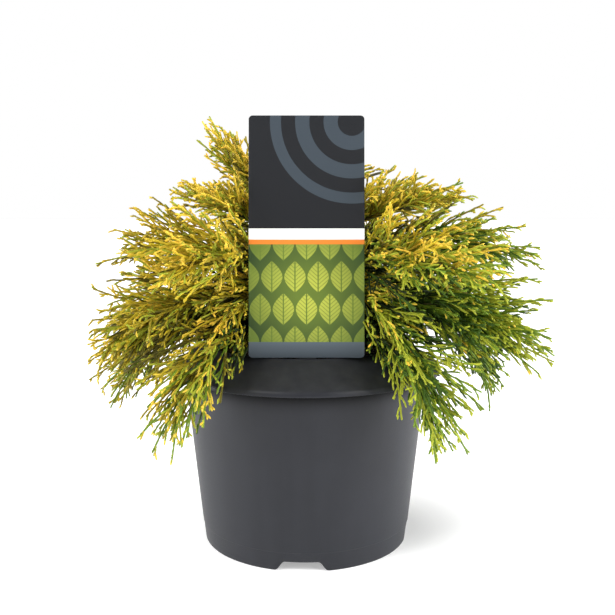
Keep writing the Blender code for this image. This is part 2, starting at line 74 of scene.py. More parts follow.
# %% [markdown]
# ## Camera and light
#
# The photograph is a product shot on white. A pinhole camera fitted to the two ellipses of the
# pot stands 0.62 m in front of the pot's axis and a little under the crown's top. One soft lamp
# hangs above and to the left, and a larger, lower one at the right. The surround is dim, except
# far to the sides, where it lights the flanks of the pot and the outer sprays. More lamps could do
# that too, but a formula of the ray's direction is smooth and has no edge that the pot would
# mirror. Where the camera looks past the plant, it sees plain white.

# %% Camera
CAMERA_PLACE = (1.3 * MM, -621.0 * MM, 248.0 * MM)
CAMERA_PITCH = 7.735
SENSOR_WIDTH = 36.0
IMAGE_WIDTH = 615
FOCAL_PIXELS = 889.0
NEAREST_SEEN = 10.0 * MM


def add_camera():
    """Lens of a pinhole camera: focal length in pixels times sensor width over image width."""
    data = bpy.data.cameras.new("camera")
    data.sensor_width = SENSOR_WIDTH
    data.lens = FOCAL_PIXELS * SENSOR_WIDTH / IMAGE_WIDTH
    data.clip_start = NEAREST_SEEN
    camera = bpy.data.objects.new("camera", data)
    camera.location = CAMERA_PLACE
    camera.rotation_euler = (math.radians(90.0 - CAMERA_PITCH), 0.0, 0.0)
    bpy.context.scene.collection.objects.link(camera)
    bpy.context.scene.camera = camera
    return camera


print("lens in mm:", round(add_camera().data.lens, 2))

# %% Lights and surround
KEY_PLACE = (-0.75, -0.85, 1.25)
KEY_SIDE = 0.45
KEY_WATTS = 8.8
FILL_PLACE = (0.95, -0.75, 0.80)
FILL_SIDE = 0.60
FILL_WATTS = 9.2
LIGHT_TARGET = np.array((0.0, 0.0, 0.15))
SURROUND_LOW = 0.02
SURROUND_SIDES = 11.0
SURROUND_POWER = 6.0
SURROUND_TOP = 0.12
WHITE = (1.0, 1.0, 1.0, 1.0)


def add_soft_light(name, place, side, watts):
    """Square lamp of the given side that faces the middle of the plant."""
    data = bpy.data.lights.new(name, "AREA")
    data.shape = "SQUARE"
    data.size = side
    data.energy = watts
    lamp = bpy.data.objects.new(name, data)
    lamp.location = place
    aim = LIGHT_TARGET - np.array(place)
    lamp.rotation_euler = (math.acos(-aim[2] / np.linalg.norm(aim)), 0.0,
                           math.atan2(aim[1], aim[0]) - math.pi / 2)
    bpy.context.scene.collection.objects.link(lamp)
    return lamp


def math_node(tree, operation, first, second=0.0):
    """Output of a new Math node whose inputs are sockets or plain numbers."""
    node = tree.nodes.new("ShaderNodeMath")
    node.operation = operation
    for slot, value in enumerate((first, second)):
        if isinstance(value, (int, float)):
            node.inputs[slot].default_value = value
        else:
            tree.links.new(value, node.inputs[slot])
    return node.outputs["Value"]


def add_surround():
    """Studio round the plant: brightness = low + sides x^power + top z, for a ray's direction
    (x, y, z). What the camera sees of it directly is plain white."""
    world = bpy.data.worlds.new("surround")
    world.use_nodes = True
    tree = world.node_tree
    light = tree.nodes["Background"]
    split = tree.nodes.new("ShaderNodeSeparateXYZ")
    tree.links.new(tree.nodes.new("ShaderNodeTexCoord").outputs["Generated"], split.inputs["Vector"])
    x, z = split.outputs["X"], split.outputs["Z"]
    far = math_node(tree, "POWER", math_node(tree, "MULTIPLY", x, x), SURROUND_POWER / 2)
    sides = math_node(tree, "MULTIPLY", far, SURROUND_SIDES)
    top = math_node(tree, "MULTIPLY", math_node(tree, "MAXIMUM", z, 0.0), SURROUND_TOP)
    total = math_node(tree, "ADD", math_node(tree, "ADD", sides, top), SURROUND_LOW)
    tree.links.new(total, light.inputs["Strength"])
    light.inputs["Color"].default_value = WHITE
    white = tree.nodes.new("ShaderNodeBackground")
    white.inputs["Color"].default_value = WHITE
    seen = tree.nodes.new("ShaderNodeLightPath")
    choose = tree.nodes.new("ShaderNodeMixShader")
    tree.links.new(seen.outputs["Is Camera Ray"], choose.inputs["Fac"])
    tree.links.new(light.outputs["Background"], choose.inputs[1])
    tree.links.new(white.outputs["Background"], choose.inputs[2])
    tree.links.new(choose.outputs["Shader"], tree.nodes["World Output"].inputs["Surface"])
    bpy.context.scene.world = world


add_soft_light("key light", KEY_PLACE, KEY_SIDE, KEY_WATTS)
add_soft_light("fill light", FILL_PLACE, FILL_SIDE, FILL_WATTS)
add_surround()
bpy.context.scene.view_settings.view_transform = "Standard"
print("lights:", [thing.name for thing in bpy.data.objects if thing.type == "LIGHT"])

# %% [markdown]
# ## From arrays to meshes
#
# Every piece below is worked out as an array of points, and a few helpers turn such arrays into
# meshes. Adding vertices one by one would be slow, so foreach_set hands whole arrays over. On a
# grid two parameters run along the rows and columns, as on the pot, and its faces follow from
# counting. The tens of thousands of threads bring their own triangles.

# %% Mesh helpers


def mesh_object(name, points, corners, counts, material):
    """Object with the given points; corners lists the faces' corners and counts their number each."""
    mesh = bpy.data.meshes.new(name)
    mesh.vertices.add(len(points))
    mesh.vertices.foreach_set("co", np.asarray(points, np.float32).ravel())
    mesh.loops.add(len(corners))
    mesh.loops.foreach_set("vertex_index", np.asarray(corners, np.int32))
    mesh.polygons.add(len(counts))
    starts = np.concatenate(([0], np.cumsum(counts)[:-1]))
    mesh.polygons.foreach_set("loop_start", starts.astype(np.int32))
    mesh.update(calc_edges=True)
    mesh.validate()
    mesh.shade_smooth()
    if material:
        mesh.materials.append(material)
    thing = bpy.data.objects.new(name, mesh)
    bpy.context.scene.collection.objects.link(thing)
    return thing


def grid_faces(rows, columns, wrap):
    """Corners of the quads between neighbouring points of a grid; wrap joins its last column
    to its first."""
    row = np.arange(rows - 1)[:, None]
    column = np.arange(columns if wrap else columns - 1)[None, :]
    right = (column + 1) % columns
    quads = np.stack([row * columns + column + 0 * right, row * columns + right,
                      (row + 1) * columns + right, (row + 1) * columns + column + 0 * right], axis=-1)
    return quads.reshape(-1, 4)


def turned_object(name, radius, height, sides, material):
    """Surface of revolution: x = r cos a, y = r sin a, z = h, for each point (r, h) of an outline
    whose first and last points lie on the axis. The axis points become single poles."""
    angle = np.linspace(0.0, 2 * np.pi, sides, endpoint=False)
    ring = np.stack([radius[1:-1, None] * np.cos(angle), radius[1:-1, None] * np.sin(angle),
                     np.broadcast_to(height[1:-1, None], (len(height) - 2, sides))], axis=-1)
    count = ring.shape[0] * sides
    points = np.concatenate([ring.reshape(-1, 3), [(0.0, 0.0, height[0]), (0.0, 0.0, height[-1])]])
    quads = grid_faces(ring.shape[0], sides, True)
    column = np.arange(sides)
    after = (column + 1) % sides
    first = np.stack([np.full(sides, count), after, column], axis=-1)
    last = np.stack([np.full(sides, count + 1), count - sides + column, count - sides + after], axis=-1)
    corners = np.concatenate([quads.ravel(), first.ravel(), last.ravel()])
    counts = np.concatenate([np.full(len(quads), 4), np.full(2 * sides, 3)])
    return mesh_object(name, points, corners, counts, material)


def vertex_places(thing):
    """Array of the mesh's vertices, one row each."""
    places = np.empty(len(thing.data.vertices) * 3, np.float32)
    thing.data.vertices.foreach_get("co", places)
    return places.reshape(-1, 3)


def move_vertices(thing, places):
    """Put the mesh's vertices at new places."""
    thing.data.vertices.foreach_set("co", places.ravel())
    thing.data.update()


print("corners of a grid of 3 by 4 points:", grid_faces(3, 4, False).shape)

# %% [markdown]
# ## Material helpers
#
# Each finish is a Principled shader with its own pattern. Grain mixes two scales of noise. Every
# material uses it, so it is a node group, which a change then reaches everywhere. Dust gathers on
# faces that look up. It is a group as well, ready for more materials than the pot. Both put out
# only a mask, and each material decides what to do with it.

# %% Node groups


def new_group(name, inputs, outputs):
    """Shader node group with float or vector inputs as (name, kind, value) and float outputs."""
    group = bpy.data.node_groups.new(name, "ShaderNodeTree")
    for label, kind, value in inputs:
        socket = group.interface.new_socket(label, in_out="INPUT", socket_type=kind)
        if value is not None:
            socket.default_value = value
    for label in outputs:
        group.interface.new_socket(label, in_out="OUTPUT", socket_type="NodeSocketFloat")
    return group, group.nodes.new("NodeGroupInput"), group.nodes.new("NodeGroupOutput")


def build_grain_group():
    """Grain: (1 - mix) times coarse noise plus mix times fine noise, four times as small."""
    group, source, sink = new_group(
        "grain", [("Place", "NodeSocketVector", None), ("Scale", "NodeSocketFloat", 200.0),
                  ("Fine share", "NodeSocketFloat", 0.5)], ["Grain"])
    coarse = group.nodes.new("ShaderNodeTexNoise")
    fine = group.nodes.new("ShaderNodeTexNoise")
    group.links.new(source.outputs["Place"], coarse.inputs["Vector"])
    group.links.new(source.outputs["Place"], fine.inputs["Vector"])
    group.links.new(source.outputs["Scale"], coarse.inputs["Scale"])
    group.links.new(math_node(group, "MULTIPLY", source.outputs["Scale"], 4.0), fine.inputs["Scale"])
    coarse.inputs["Detail"].default_value = 4.0
    fine.inputs["Detail"].default_value = 2.0
    share = source.outputs["Fine share"]
    part = math_node(group, "MULTIPLY", fine.outputs["Fac"], share)
    rest = math_node(group, "MULTIPLY", coarse.outputs["Fac"], math_node(group, "SUBTRACT", 1.0, share))
    group.links.new(math_node(group, "ADD", part, rest), sink.inputs["Grain"])
    return group


def build_dust_group():
    """Dust: how far the face looks up, raised to a power, times a broken noise."""
    group, source, sink = new_group(
        "dust", [("Place", "NodeSocketVector", None), ("Scale", "NodeSocketFloat", 60.0),
                 ("Amount", "NodeSocketFloat", 0.4)], ["Dust"])
    facing = group.nodes.new("ShaderNodeNewGeometry")
    split = group.nodes.new("ShaderNodeSeparateXYZ")
    noise = group.nodes.new("ShaderNodeTexNoise")
    noise.inputs["Detail"].default_value = 6.0
    group.links.new(facing.outputs["Normal"], split.inputs["Vector"])
    group.links.new(source.outputs["Place"], noise.inputs["Vector"])
    group.links.new(source.outputs["Scale"], noise.inputs["Scale"])
    level = math_node(group, "POWER", math_node(group, "MAXIMUM", split.outputs["Z"], 0.0), 2.0)
    broken = math_node(group, "MULTIPLY", level, noise.outputs["Fac"])
    group.links.new(math_node(group, "MULTIPLY", broken, source.outputs["Amount"]), sink.inputs["Dust"])
    return group


GRAIN = build_grain_group()
DUST = build_dust_group()
print("node groups:", [group.name for group in bpy.data.node_groups])

# %% Material builder


class Finish:
    """One material under construction: its tree, its Principled shader and shorthand for nodes."""

    def __init__(self, name, colour, roughness):
        self.material = bpy.data.materials.new(name)
        self.material.use_nodes = True
        self.tree = self.material.node_tree
        self.shader = self.tree.nodes["Principled BSDF"]
        self.shader.inputs["Base Color"].default_value = (*colour, 1.0)
        self.shader.inputs["Roughness"].default_value = roughness
        self.place = self.tree.nodes.new("ShaderNodeTexCoord").outputs["Object"]

    def node(self, kind, **values):
        """New node with the named inputs set."""
        return self.fill(self.tree.nodes.new(kind), values)

    def fill(self, node, values):
        """The same node with the named inputs set."""
        for label, value in values.items():
            node.inputs[label.replace("_", " ")].default_value = value
        return node

    def link(self, output, target):
        """Link from an output to an input."""
        self.tree.links.new(output, target)

    def calc(self, operation, first, second=0.0):
        """Output of a Math node in this material."""
        return math_node(self.tree, operation, first, second)

    def parts(self, vector):
        """The outputs X, Y and Z of a vector."""
        node = self.node("ShaderNodeSeparateXYZ")
        self.link(vector, node.inputs["Vector"])
        return node.outputs

    def streaks(self, scale, detail):
        """Noise that is drawn out, with a scale of its own along each axis."""
        stretched = self.node("ShaderNodeMapping", Scale=scale)
        self.link(self.place, stretched.inputs["Vector"])
        noise = self.node("ShaderNodeTexNoise", Scale=1.0, Detail=detail)
        self.link(stretched.outputs["Vector"], noise.inputs["Vector"])
        return noise.outputs["Fac"]

    def group(self, group, **values):
        """Mask of a node group placed in this material, reading object coordinates."""
        node = self.tree.nodes.new("ShaderNodeGroup")
        node.node_tree = group
        self.link(self.place, node.inputs["Place"])
        return self.fill(node, values).outputs[0]

    def ramp(self, value, stops):
        """Colour ramp over value, with stops as (position, colour)."""
        node = self.tree.nodes.new("ShaderNodeValToRGB")
        while len(node.color_ramp.elements) < len(stops):
            node.color_ramp.elements.new(0.5)
        for element, (position, colour) in zip(node.color_ramp.elements, stops):
            element.position = position
            element.color = (*colour, 1.0)
        self.link(value, node.inputs["Fac"])
        return node.outputs["Color"]

    def span(self, value, low, high, start=0.0, end=1.0):
        """Value from start..end laid over low..high, and held there beyond the two ends."""
        node = self.node("ShaderNodeMapRange", From_Min=start, From_Max=end, To_Min=low, To_Max=high)
        self.link(value, node.inputs["Value"])
        return node.outputs["Result"]

    def mix(self, share, first, second):
        """Mix of two colours, each a socket or a plain colour."""
        node = self.tree.nodes.new("ShaderNodeMix")
        node.data_type = "RGBA"
        self.link(share, node.inputs["Factor"])
        for label, value in (("A", first), ("B", second)):
            socket = next(s for s in node.inputs if s.name == label and s.type == "RGBA")
            if isinstance(value, tuple):
                socket.default_value = (*value, 1.0)
            else:
                self.link(value, socket)
        return next(s for s in node.outputs if s.type == "RGBA")

    def bump(self, height, depth, strength=1.0):
        """Relief of the given depth in metres into the shader's normal."""
        node = self.node("ShaderNodeBump", Distance=depth, Strength=strength)
        self.link(height, node.inputs["Height"])
        self.link(node.outputs["Normal"], self.shader.inputs["Normal"])

    def colour(self, output):
        """Colour of the surface from an output."""
        self.link(output, self.shader.inputs["Base Color"])

    def roughness(self, output):
        """Roughness of the surface from an output."""
        self.link(output, self.shader.inputs["Roughness"])


print("shorthand for nodes:", [name for name in vars(Finish) if not name.startswith("_")])

# %% [markdown]
# ## Floor
#
# In the photograph the floor runs into the white background without a line, and a soft grey shadow
# lies at the right of the foot. The sheet is much larger than the picture, with the faintest tooth
# of paper. It also glows, a painted light, and more so further away, which hides its far edge. In a
# soft oval patch the glow fades to nought, which paints the shadow there: the lamps' own shadow
# shows through, and the patch gives it its place and its soft border.

# %% Floor
FLOOR_SIDE = 12.0
SHADOW_MIDDLE = (72.0 * MM, 10.0 * MM)
SHADOW_STRETCH = 0.5
SHADOW_CORE = 8.0 * MM
SHADOW_REACH = 56.0 * MM
GLOW_SPAN = (0.10, 0.42)
GLOW_NEAR = 0.38
GLOW_FAR = 0.66
FLOOR_GREY = (0.86, 0.86, 0.86)


def add_floor():
    """Pale sheet with a painted glow that grows with the distance from the origin. In a soft oval
    patch at the right of the foot the glow falls to nought, which paints the shadow there."""
    finish = Finish("pale floor", FLOOR_GREY, 0.9)
    grain = finish.group(GRAIN, Scale=400.0)
    finish.bump(grain, 0.05 * MM, 0.3)
    painted_shadow_patch = finish.node("ShaderNodeMapping", Scale=(1.0, SHADOW_STRETCH, 1.0),
                        Location=(-SHADOW_MIDDLE[0], -SHADOW_MIDDLE[1] * SHADOW_STRETCH, 0.0))
    finish.link(finish.place, painted_shadow_patch.inputs["Vector"])
    parts = []
    # Painted light and shadow: the glow by distance, times the oval patch where it fades out.
    for vector, ends, levels in ((finish.place, GLOW_SPAN, (GLOW_NEAR, GLOW_FAR)),
                                 (painted_shadow_patch.outputs["Vector"], (SHADOW_CORE, SHADOW_REACH), (0.0, 1.0))):
        away = finish.node("ShaderNodeVectorMath")
        away.operation = "LENGTH"
        finish.link(vector, away.inputs[0])
        parts.append(finish.span(away.outputs["Value"], *levels, *ends))
    finish.shader.inputs["Emission Color"].default_value = WHITE
    finish.link(finish.calc("MULTIPLY", *parts), finish.shader.inputs["Emission Strength"])
    half = FLOOR_SIDE / 2
    corners = [(-half, -half, 0.0), (half, -half, 0.0), (half, half, 0.0), (-half, half, 0.0)]
    floor = mesh_object("floor", corners, np.arange(4), np.array([4]), finish.material)
    floor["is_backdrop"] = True
    return floor


print("floor:", add_floor().name)

# %% [markdown]
# ## Pot
#
# The real pot is moulded charcoal plastic. Its wall tapers down to a foot with four low notches,
# and its brim slopes inwards above an overhanging lip. A turned outline is the natural way to
# make it: straight runs with small rounded corners, carried round the axis. The notches then lift
# the foot's lower edge by a height that depends only on the angle round the pot. The overhanging
# lip keeps light off the wall below it, and that shade is painted into the plastic: its colour is
# made darker there, and its surface duller.

# %% Outline of the pot
POT_FOOT_RADIUS = 72.4 * MM
POT_WALL_RADIUS = 85.3 * MM
POT_WALL = 1.8 * MM
BRIM_RADIUS = POT_HIGH[0]
BRIM_UNDERSIDE = 121.1 * MM
BRIM_LIP = 2.8 * MM
BRIM_TOP = POT_HIGH[2]
BRIM_MOUTH_RADIUS = 70.0 * MM
FOOT_STEP_HEIGHT = 13.0 * MM
FOOT_STEP = 0.3 * MM
FLOOR_UNDERSIDE = 7.5 * MM
CENTRE_FOOT_RADIUS = 14.0 * MM
POT_SIDES = 384
FINE_CORNER = 0.3 * MM


def brim_height(radius):
    """Height of the brim's sloping top: it falls evenly from the mouth to the lip."""
    slope = (BRIM_TOP - BRIM_UNDERSIDE - BRIM_LIP) / (BRIM_RADIUS - BRIM_MOUTH_RADIUS)
    return BRIM_TOP - slope * (radius - BRIM_MOUTH_RADIUS)


def wall_radius(height):
    """Outer radius of the wall: an even taper from foot to brim."""
    return POT_FOOT_RADIUS + (POT_WALL_RADIUS - POT_FOOT_RADIUS) * height / BRIM_UNDERSIDE


def rounded_outline(corners, steps=5):
    """Outline through (radius, height, rounding) corners. Each corner becomes a quadratic curve
    that starts and ends one rounding away from it along its two sides."""
    corners = np.array(corners, float)
    here = corners[1:-1, :2]
    back = corners[:-2, :2] - here
    onward = corners[2:, :2] - here
    size = corners[1:-1, 2:3]
    start = here + back / np.linalg.norm(back, axis=1, keepdims=True) * size
    end = here + onward / np.linalg.norm(onward, axis=1, keepdims=True) * size
    share = np.linspace(0.0, 1.0, steps)[None, :, None]
    curve = ((1 - share) ** 2 * start[:, None] + 2 * share * (1 - share) * here[:, None]
             + share**2 * end[:, None]).reshape(-1, 2)
    return np.concatenate([corners[:1, :2], curve, corners[-1:, :2]])


def filled_in(outline, longest):
    """Outline with extra points so that no straight run is longer than the given length."""
    runs = np.linalg.norm(np.diff(outline, axis=0), axis=1)
    along = np.concatenate([[0.0], np.cumsum(runs)])
    parts = np.maximum(np.ceil(runs / longest).astype(int), 1)
    marks = np.concatenate([np.linspace(a, b, n, endpoint=False)
                            for a, b, n in zip(along, along[1:], parts)] + [along[-1:]])
    marks = np.unique(np.round(marks, 9))
    return np.stack([np.interp(marks, along, outline[:, k]) for k in range(2)], axis=1)


def pot_outline():
    """From the middle of the underside round the foot, wall, brim and mouth to the floor inside."""
    sheet = POT_WALL / math.cos(math.atan2(BRIM_TOP - BRIM_UNDERSIDE - BRIM_LIP,
                                           BRIM_RADIUS - BRIM_MOUTH_RADIUS))
    floor_top = FLOOR_UNDERSIDE + POT_WALL
    skirt = POT_FOOT_RADIUS - FOOT_STEP
    hang = BRIM_RADIUS - POT_WALL
    under = POT_WALL_RADIUS + 0.6 * MM
    mouth = BRIM_MOUTH_RADIUS - POT_WALL
    chamber = wall_radius(BRIM_UNDERSIDE) - POT_WALL + 1.0 * MM
    fine = FINE_CORNER
    return rounded_outline([
        (0.0, 0.0, 0.0),
        (CENTRE_FOOT_RADIUS, 0.0, fine),
        (CENTRE_FOOT_RADIUS + 1.5 * MM, FLOOR_UNDERSIDE, fine),
        (skirt - POT_WALL - 1.0 * MM, FLOOR_UNDERSIDE, fine),
        (skirt - POT_WALL, 0.0, fine),
        (skirt, 0.0, 1.2 * MM),
        (wall_radius(FOOT_STEP_HEIGHT) - FOOT_STEP, FOOT_STEP_HEIGHT, fine * 0.5),
        (wall_radius(FOOT_STEP_HEIGHT), FOOT_STEP_HEIGHT + FOOT_STEP, fine * 0.5),
        (under, brim_height(under) - sheet, fine),
        (hang, brim_height(hang) - sheet, fine),
        (hang, BRIM_UNDERSIDE, fine * 1.5),
        (BRIM_RADIUS, BRIM_UNDERSIDE, fine),
        (BRIM_RADIUS, BRIM_UNDERSIDE + BRIM_LIP, 2.2 * MM),
        (BRIM_MOUTH_RADIUS, BRIM_TOP, 0.8 * MM),
        (mouth, BRIM_TOP, fine),
        (mouth, brim_height(mouth) - sheet - 1.0 * MM, fine),
        (chamber, brim_height(chamber) - sheet, fine),
        (wall_radius(floor_top) - POT_WALL, floor_top, 1.5 * MM),
        (0.0, floor_top, 0.0),
    ])


print("points on the pot's outline:", len(pot_outline()))

# %% Notches in the foot
NOTCH_COUNT = 4
NOTCH_AZIMUTH = -92.1
NOTCH_HEIGHT = 6.3 * MM
NOTCH_TOP_WIDTH = 21.0 * MM
NOTCH_FOOT_WIDTH = 37.0 * MM
RING_WIDTH = 6.0 * MM
LIFTED_HEIGHT = 11.0 * MM


def foot_lift(angle):
    """Height of the foot's lower edge: smooth steps up to the notch's height, whose flanks lie
    between half the top width and half the foot width from the middle of the nearest notch."""
    pitch = 2 * np.pi / NOTCH_COUNT
    away = (angle - math.radians(NOTCH_AZIMUTH) + pitch / 2) % pitch - pitch / 2
    across = np.abs(away) * POT_FOOT_RADIUS
    flank = (NOTCH_FOOT_WIDTH / 2 - across) / (NOTCH_FOOT_WIDTH / 2 - NOTCH_TOP_WIDTH / 2)
    share = np.clip(flank, 0.0, 1.0)
    return NOTCH_HEIGHT * share**3 * (10 - 15 * share + 6 * share**2)


def lift_foot(pot):
    """Squeeze the lower part of the foot ring upwards: z becomes lift + z (1 - lift / top), where
    the top is the pot's floor on the ring's inner side and a fixed height elsewhere."""
    places = vertex_places(pot)
    x, y, z = places.T.astype(float)
    lift = foot_lift(np.arctan2(y, x))
    on_ring = np.hypot(x, y) > POT_FOOT_RADIUS - RING_WIDTH
    inner = np.hypot(x, y) < POT_FOOT_RADIUS - FOOT_STEP - POT_WALL - 0.5 * MM
    top = np.where(inner, FLOOR_UNDERSIDE, LIFTED_HEIGHT)
    squeezed = lift + z * (1 - lift / top)
    places[:, 2] = np.where(on_ring & (z < top), squeezed, z)
    move_vertices(pot, places)


NOTCH_MIDDLE = math.radians(NOTCH_AZIMUTH)
print("foot lift in the middle of a notch, mm:", round(float(foot_lift(NOTCH_MIDDLE)) / MM, 2))

# %% Finish of the pot
POT_GREY = (0.0070, 0.0080, 0.0120)
POT_WORN = (0.0125, 0.0140, 0.0195)
# Colour of the painted shade on the wall under the brim's lip.
POT_PAINTED_SHADE = (0.0005, 0.0006, 0.0008)
POT_DUST = (0.12, 0.12, 0.12)
SHADE_START = 2.0 * MM
SHADE_DEPTH = 15.0 * MM
SHADE_ROUGHNESS = 0.5
FLOW_SCALE = (90.0, 90.0, 5.0)
PLASTIC_ROUGHNESS = (0.38, 0.56)
PLASTIC_GLOSS = 0.34


def pot_finish():
    """Matt moulded plastic: a fine pebble grain, faint upright flow marks and a little dust. The
    painted shade under the brim is the square of the way up from where it starts to the lip."""
    finish = Finish("moulded charcoal plastic", POT_GREY, 0.46)
    grain = finish.group(GRAIN, Scale=900.0, Fine_share=0.5)
    broad = finish.group(GRAIN, Scale=24.0, Fine_share=0.3)
    dust = finish.group(DUST, Scale=120.0, Amount=0.35)
    flow = finish.streaks(FLOW_SCALE, 3.0)
    shade = finish.calc("ADD", finish.span(flow, 0.0, 0.5), finish.span(broad, 0.0, 0.5))
    tone = finish.ramp(shade, [(0.25, POT_GREY), (0.75, POT_WORN)])
    # Painted shade: the wall just below the lip is made darker and duller, in place of the shade that
    # the overhang casts.
    up = finish.parts(finish.place)["Z"]
    depth = finish.span(up, 0.0, 1.0, BRIM_UNDERSIDE - SHADE_DEPTH, BRIM_UNDERSIDE - SHADE_START)
    below = finish.calc("LESS_THAN", up, BRIM_UNDERSIDE - 0.2 * MM)
    under = finish.calc("MULTIPLY", finish.calc("POWER", depth, 2.0), below)
    finish.colour(finish.mix(under, finish.mix(dust, tone, POT_DUST), POT_PAINTED_SHADE))
    finish.roughness(finish.calc("ADD", finish.span(grain, *PLASTIC_ROUGHNESS),
                                 finish.calc("MULTIPLY", under, SHADE_ROUGHNESS)))
    finish.bump(grain, 0.10 * MM, 0.35)
    finish.shader.inputs["Specular IOR Level"].default_value = PLASTIC_GLOSS
    return finish.material


print("shaded wall below the lip, mm:", SHADE_DEPTH / MM)

# %% Make the pot
DRAIN_COUNT = 6
DRAIN_RADIUS = 4.5 * MM
DRAIN_RING_RADIUS = 48.0 * MM
DRAIN_SIDES = 32
LONGEST_RUN = 6.0 * MM
SHARP_ANGLE = math.radians(45.0)


def drain_cutter():
    """Short cylinders, one for each drain hole, as one mesh."""
    angle = np.linspace(0.0, 2 * np.pi, DRAIN_SIDES, endpoint=False)
    spot = np.radians((np.arange(DRAIN_COUNT) + 0.5) * 360 / DRAIN_COUNT)
    middle = np.stack([np.cos(spot), np.sin(spot)], axis=1) * DRAIN_RING_RADIUS
    ring = np.stack([np.cos(angle), np.sin(angle)], axis=1) * DRAIN_RADIUS
    flat = middle[:, None] + ring[None]
    level = np.array([FLOOR_UNDERSIDE - 2 * MM, FLOOR_UNDERSIDE + POT_WALL + 2 * MM])
    points = np.concatenate([np.broadcast_to(flat[:, None], (DRAIN_COUNT, 2, DRAIN_SIDES, 2)),
                             np.broadcast_to(level[None, :, None, None],
                                             (DRAIN_COUNT, 2, DRAIN_SIDES, 1))], axis=-1)
    start = (np.arange(DRAIN_COUNT) * 2 * DRAIN_SIDES)[:, None, None]
    quads = (grid_faces(2, DRAIN_SIDES, True)[None] + start).reshape(-1)
    lower = (np.arange(DRAIN_SIDES)[::-1][None] + start[:, 0]).reshape(-1)
    upper = (np.arange(DRAIN_SIDES)[None] + DRAIN_SIDES + start[:, 0]).reshape(-1)
    corners = np.concatenate([quads, lower, upper])
    counts = np.concatenate([np.full(len(quads) // 4, 4), np.full(2 * DRAIN_COUNT, DRAIN_SIDES)])
    return mesh_object("drain cutter", points.reshape(-1, 3), corners, counts, None)


def bake_modifiers(thing):
    """Replace the object's mesh by its evaluated one."""
    graph = bpy.context.evaluated_depsgraph_get()
    result = bpy.data.meshes.new_from_object(thing.evaluated_get(graph))
    thing.modifiers.clear()
    thing.data = result


def make_pot():
    """The outline turned round the axis, its foot lifted at the notches, its floor drilled."""
    outline = filled_in(pot_outline(), LONGEST_RUN)
    pot = turned_object("nursery_pot", outline[:, 0], outline[:, 1], POT_SIDES, pot_finish())
    lift_foot(pot)
    cutter = drain_cutter()
    cut = pot.modifiers.new("drain holes", "BOOLEAN")
    cut.operation = "DIFFERENCE"
    cut.object = cutter
    bake_modifiers(pot)
    bpy.data.objects.remove(cutter, do_unlink=True)
    pot.data.shade_smooth()
    pot.data.set_sharp_from_angle(angle=SHARP_ANGLE)
    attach(pot, "root")
    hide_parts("pot")
    return pot


print("pot faces:", len(make_pot().data.polygons))

# %% [markdown]
# ## Compost
#
# Bark compost is a dark crumbly bed with chips lying on it. The bed is a disc whose height is a
# sum of waves at unrelated angles and lengths. The chips are one small eight-cornered block,
# turned, stretched and scattered by arrays.

# %% Bed of compost
SOIL_TOP = SOIL_HIGH[2]
SOIL_RADIUS = 0.5 * (SOIL_HIGH[0] - SOIL_LOW[0])
SOIL_SIDES = 160
SOIL_SETTLING = 0.8 * MM
SOIL_SEED = 5
WAVES = ((40.0, 1.2), (22.0, 0.9), (13.0, 0.7), (7.0, 0.5), (4.5, 0.35))


def compost_relief(x, y, chance):
    """Height of the bed: a sum of sine waves, each shorter one lower than the last. Three waves of
    each length cross at random angles."""
    height = np.zeros_like(x)
    for length, depth in WAVES:
        for _ in range(3):
            turn, shift = chance.uniform(0.0, 2 * np.pi, 2)
            wave = (x * math.cos(turn) + y * math.sin(turn)) / (length * MM) * 2 * np.pi
            height += depth * MM / 3 * np.sin(wave + shift)
    return height


def compost_finish():
    """Dull dark crumbs: the grain picks the brown, the roughness and the height."""
    finish = Finish("bark compost", (0.030, 0.019, 0.012), 0.95)
    grain = finish.group(GRAIN, Scale=260.0, Fine_share=0.5)
    finish.colour(finish.ramp(grain, [(0.30, (0.010, 0.007, 0.005)), (0.50, (0.036, 0.022, 0.013)),
                                      (0.72, (0.090, 0.055, 0.032))]))
    finish.roughness(finish.span(grain, 0.80, 1.0))
    finish.bump(grain, 0.8 * MM, 0.8)
    return finish.material


def make_compost():
    """The turned solid of the soil, with a fine wavy top."""
    chance = np.random.default_rng(SOIL_SEED)
    mouth = BRIM_MOUTH_RADIUS + 2.0 * MM
    outline = filled_in(np.array([
        (0.0, SOIL_LOW[2]), (wall_radius(SOIL_LOW[2]) - 3.0 * MM, SOIL_LOW[2]),
        (SOIL_RADIUS, SOIL_TOP - 7.0 * MM), (mouth, SOIL_TOP), (0.0, SOIL_TOP)]), 1.6 * MM)
    bed = turned_object("compost", outline[:, 0], outline[:, 1], SOIL_SIDES, compost_finish())
    places = vertex_places(bed)
    x, y, z = places.T.astype(float)
    on_top = np.clip((z - SOIL_TOP + 1.5 * MM) / (1.5 * MM), 0.0, 1.0)
    places[:, 2] += on_top * (compost_relief(x, y, chance) - SOIL_SETTLING)
    move_vertices(bed, places)
    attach(bed, "root")
    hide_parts("soil")
    return bed


print("compost faces:", len(make_compost().data.polygons))

# %% Chips of bark
CHIP_COUNT = 900
CHIP_CORNERS = np.array([(-1, -1, -1), (1, -1, -1), (1, 1, -1), (-1, 1, -1),
                         (-0.8, -0.7, 1), (0.7, -0.8, 1), (0.8, 0.7, 1), (-0.7, 0.8, 1)], float)
CHIP_FACES = np.array([(0, 3, 2, 1), (4, 5, 6, 7), (0, 1, 5, 4), (1, 2, 6, 5), (2, 3, 7, 6),
                       (3, 0, 4, 7)])
CHIP_EDGE = math.radians(30.0)
DARK_CHIPS = ((0.020, 0.012, 0.008), (0.060, 0.036, 0.022))
PALE_CHIPS = ((0.080, 0.050, 0.030), (0.190, 0.120, 0.075))
DARK_SEED = 11
PALE_SEED = 12


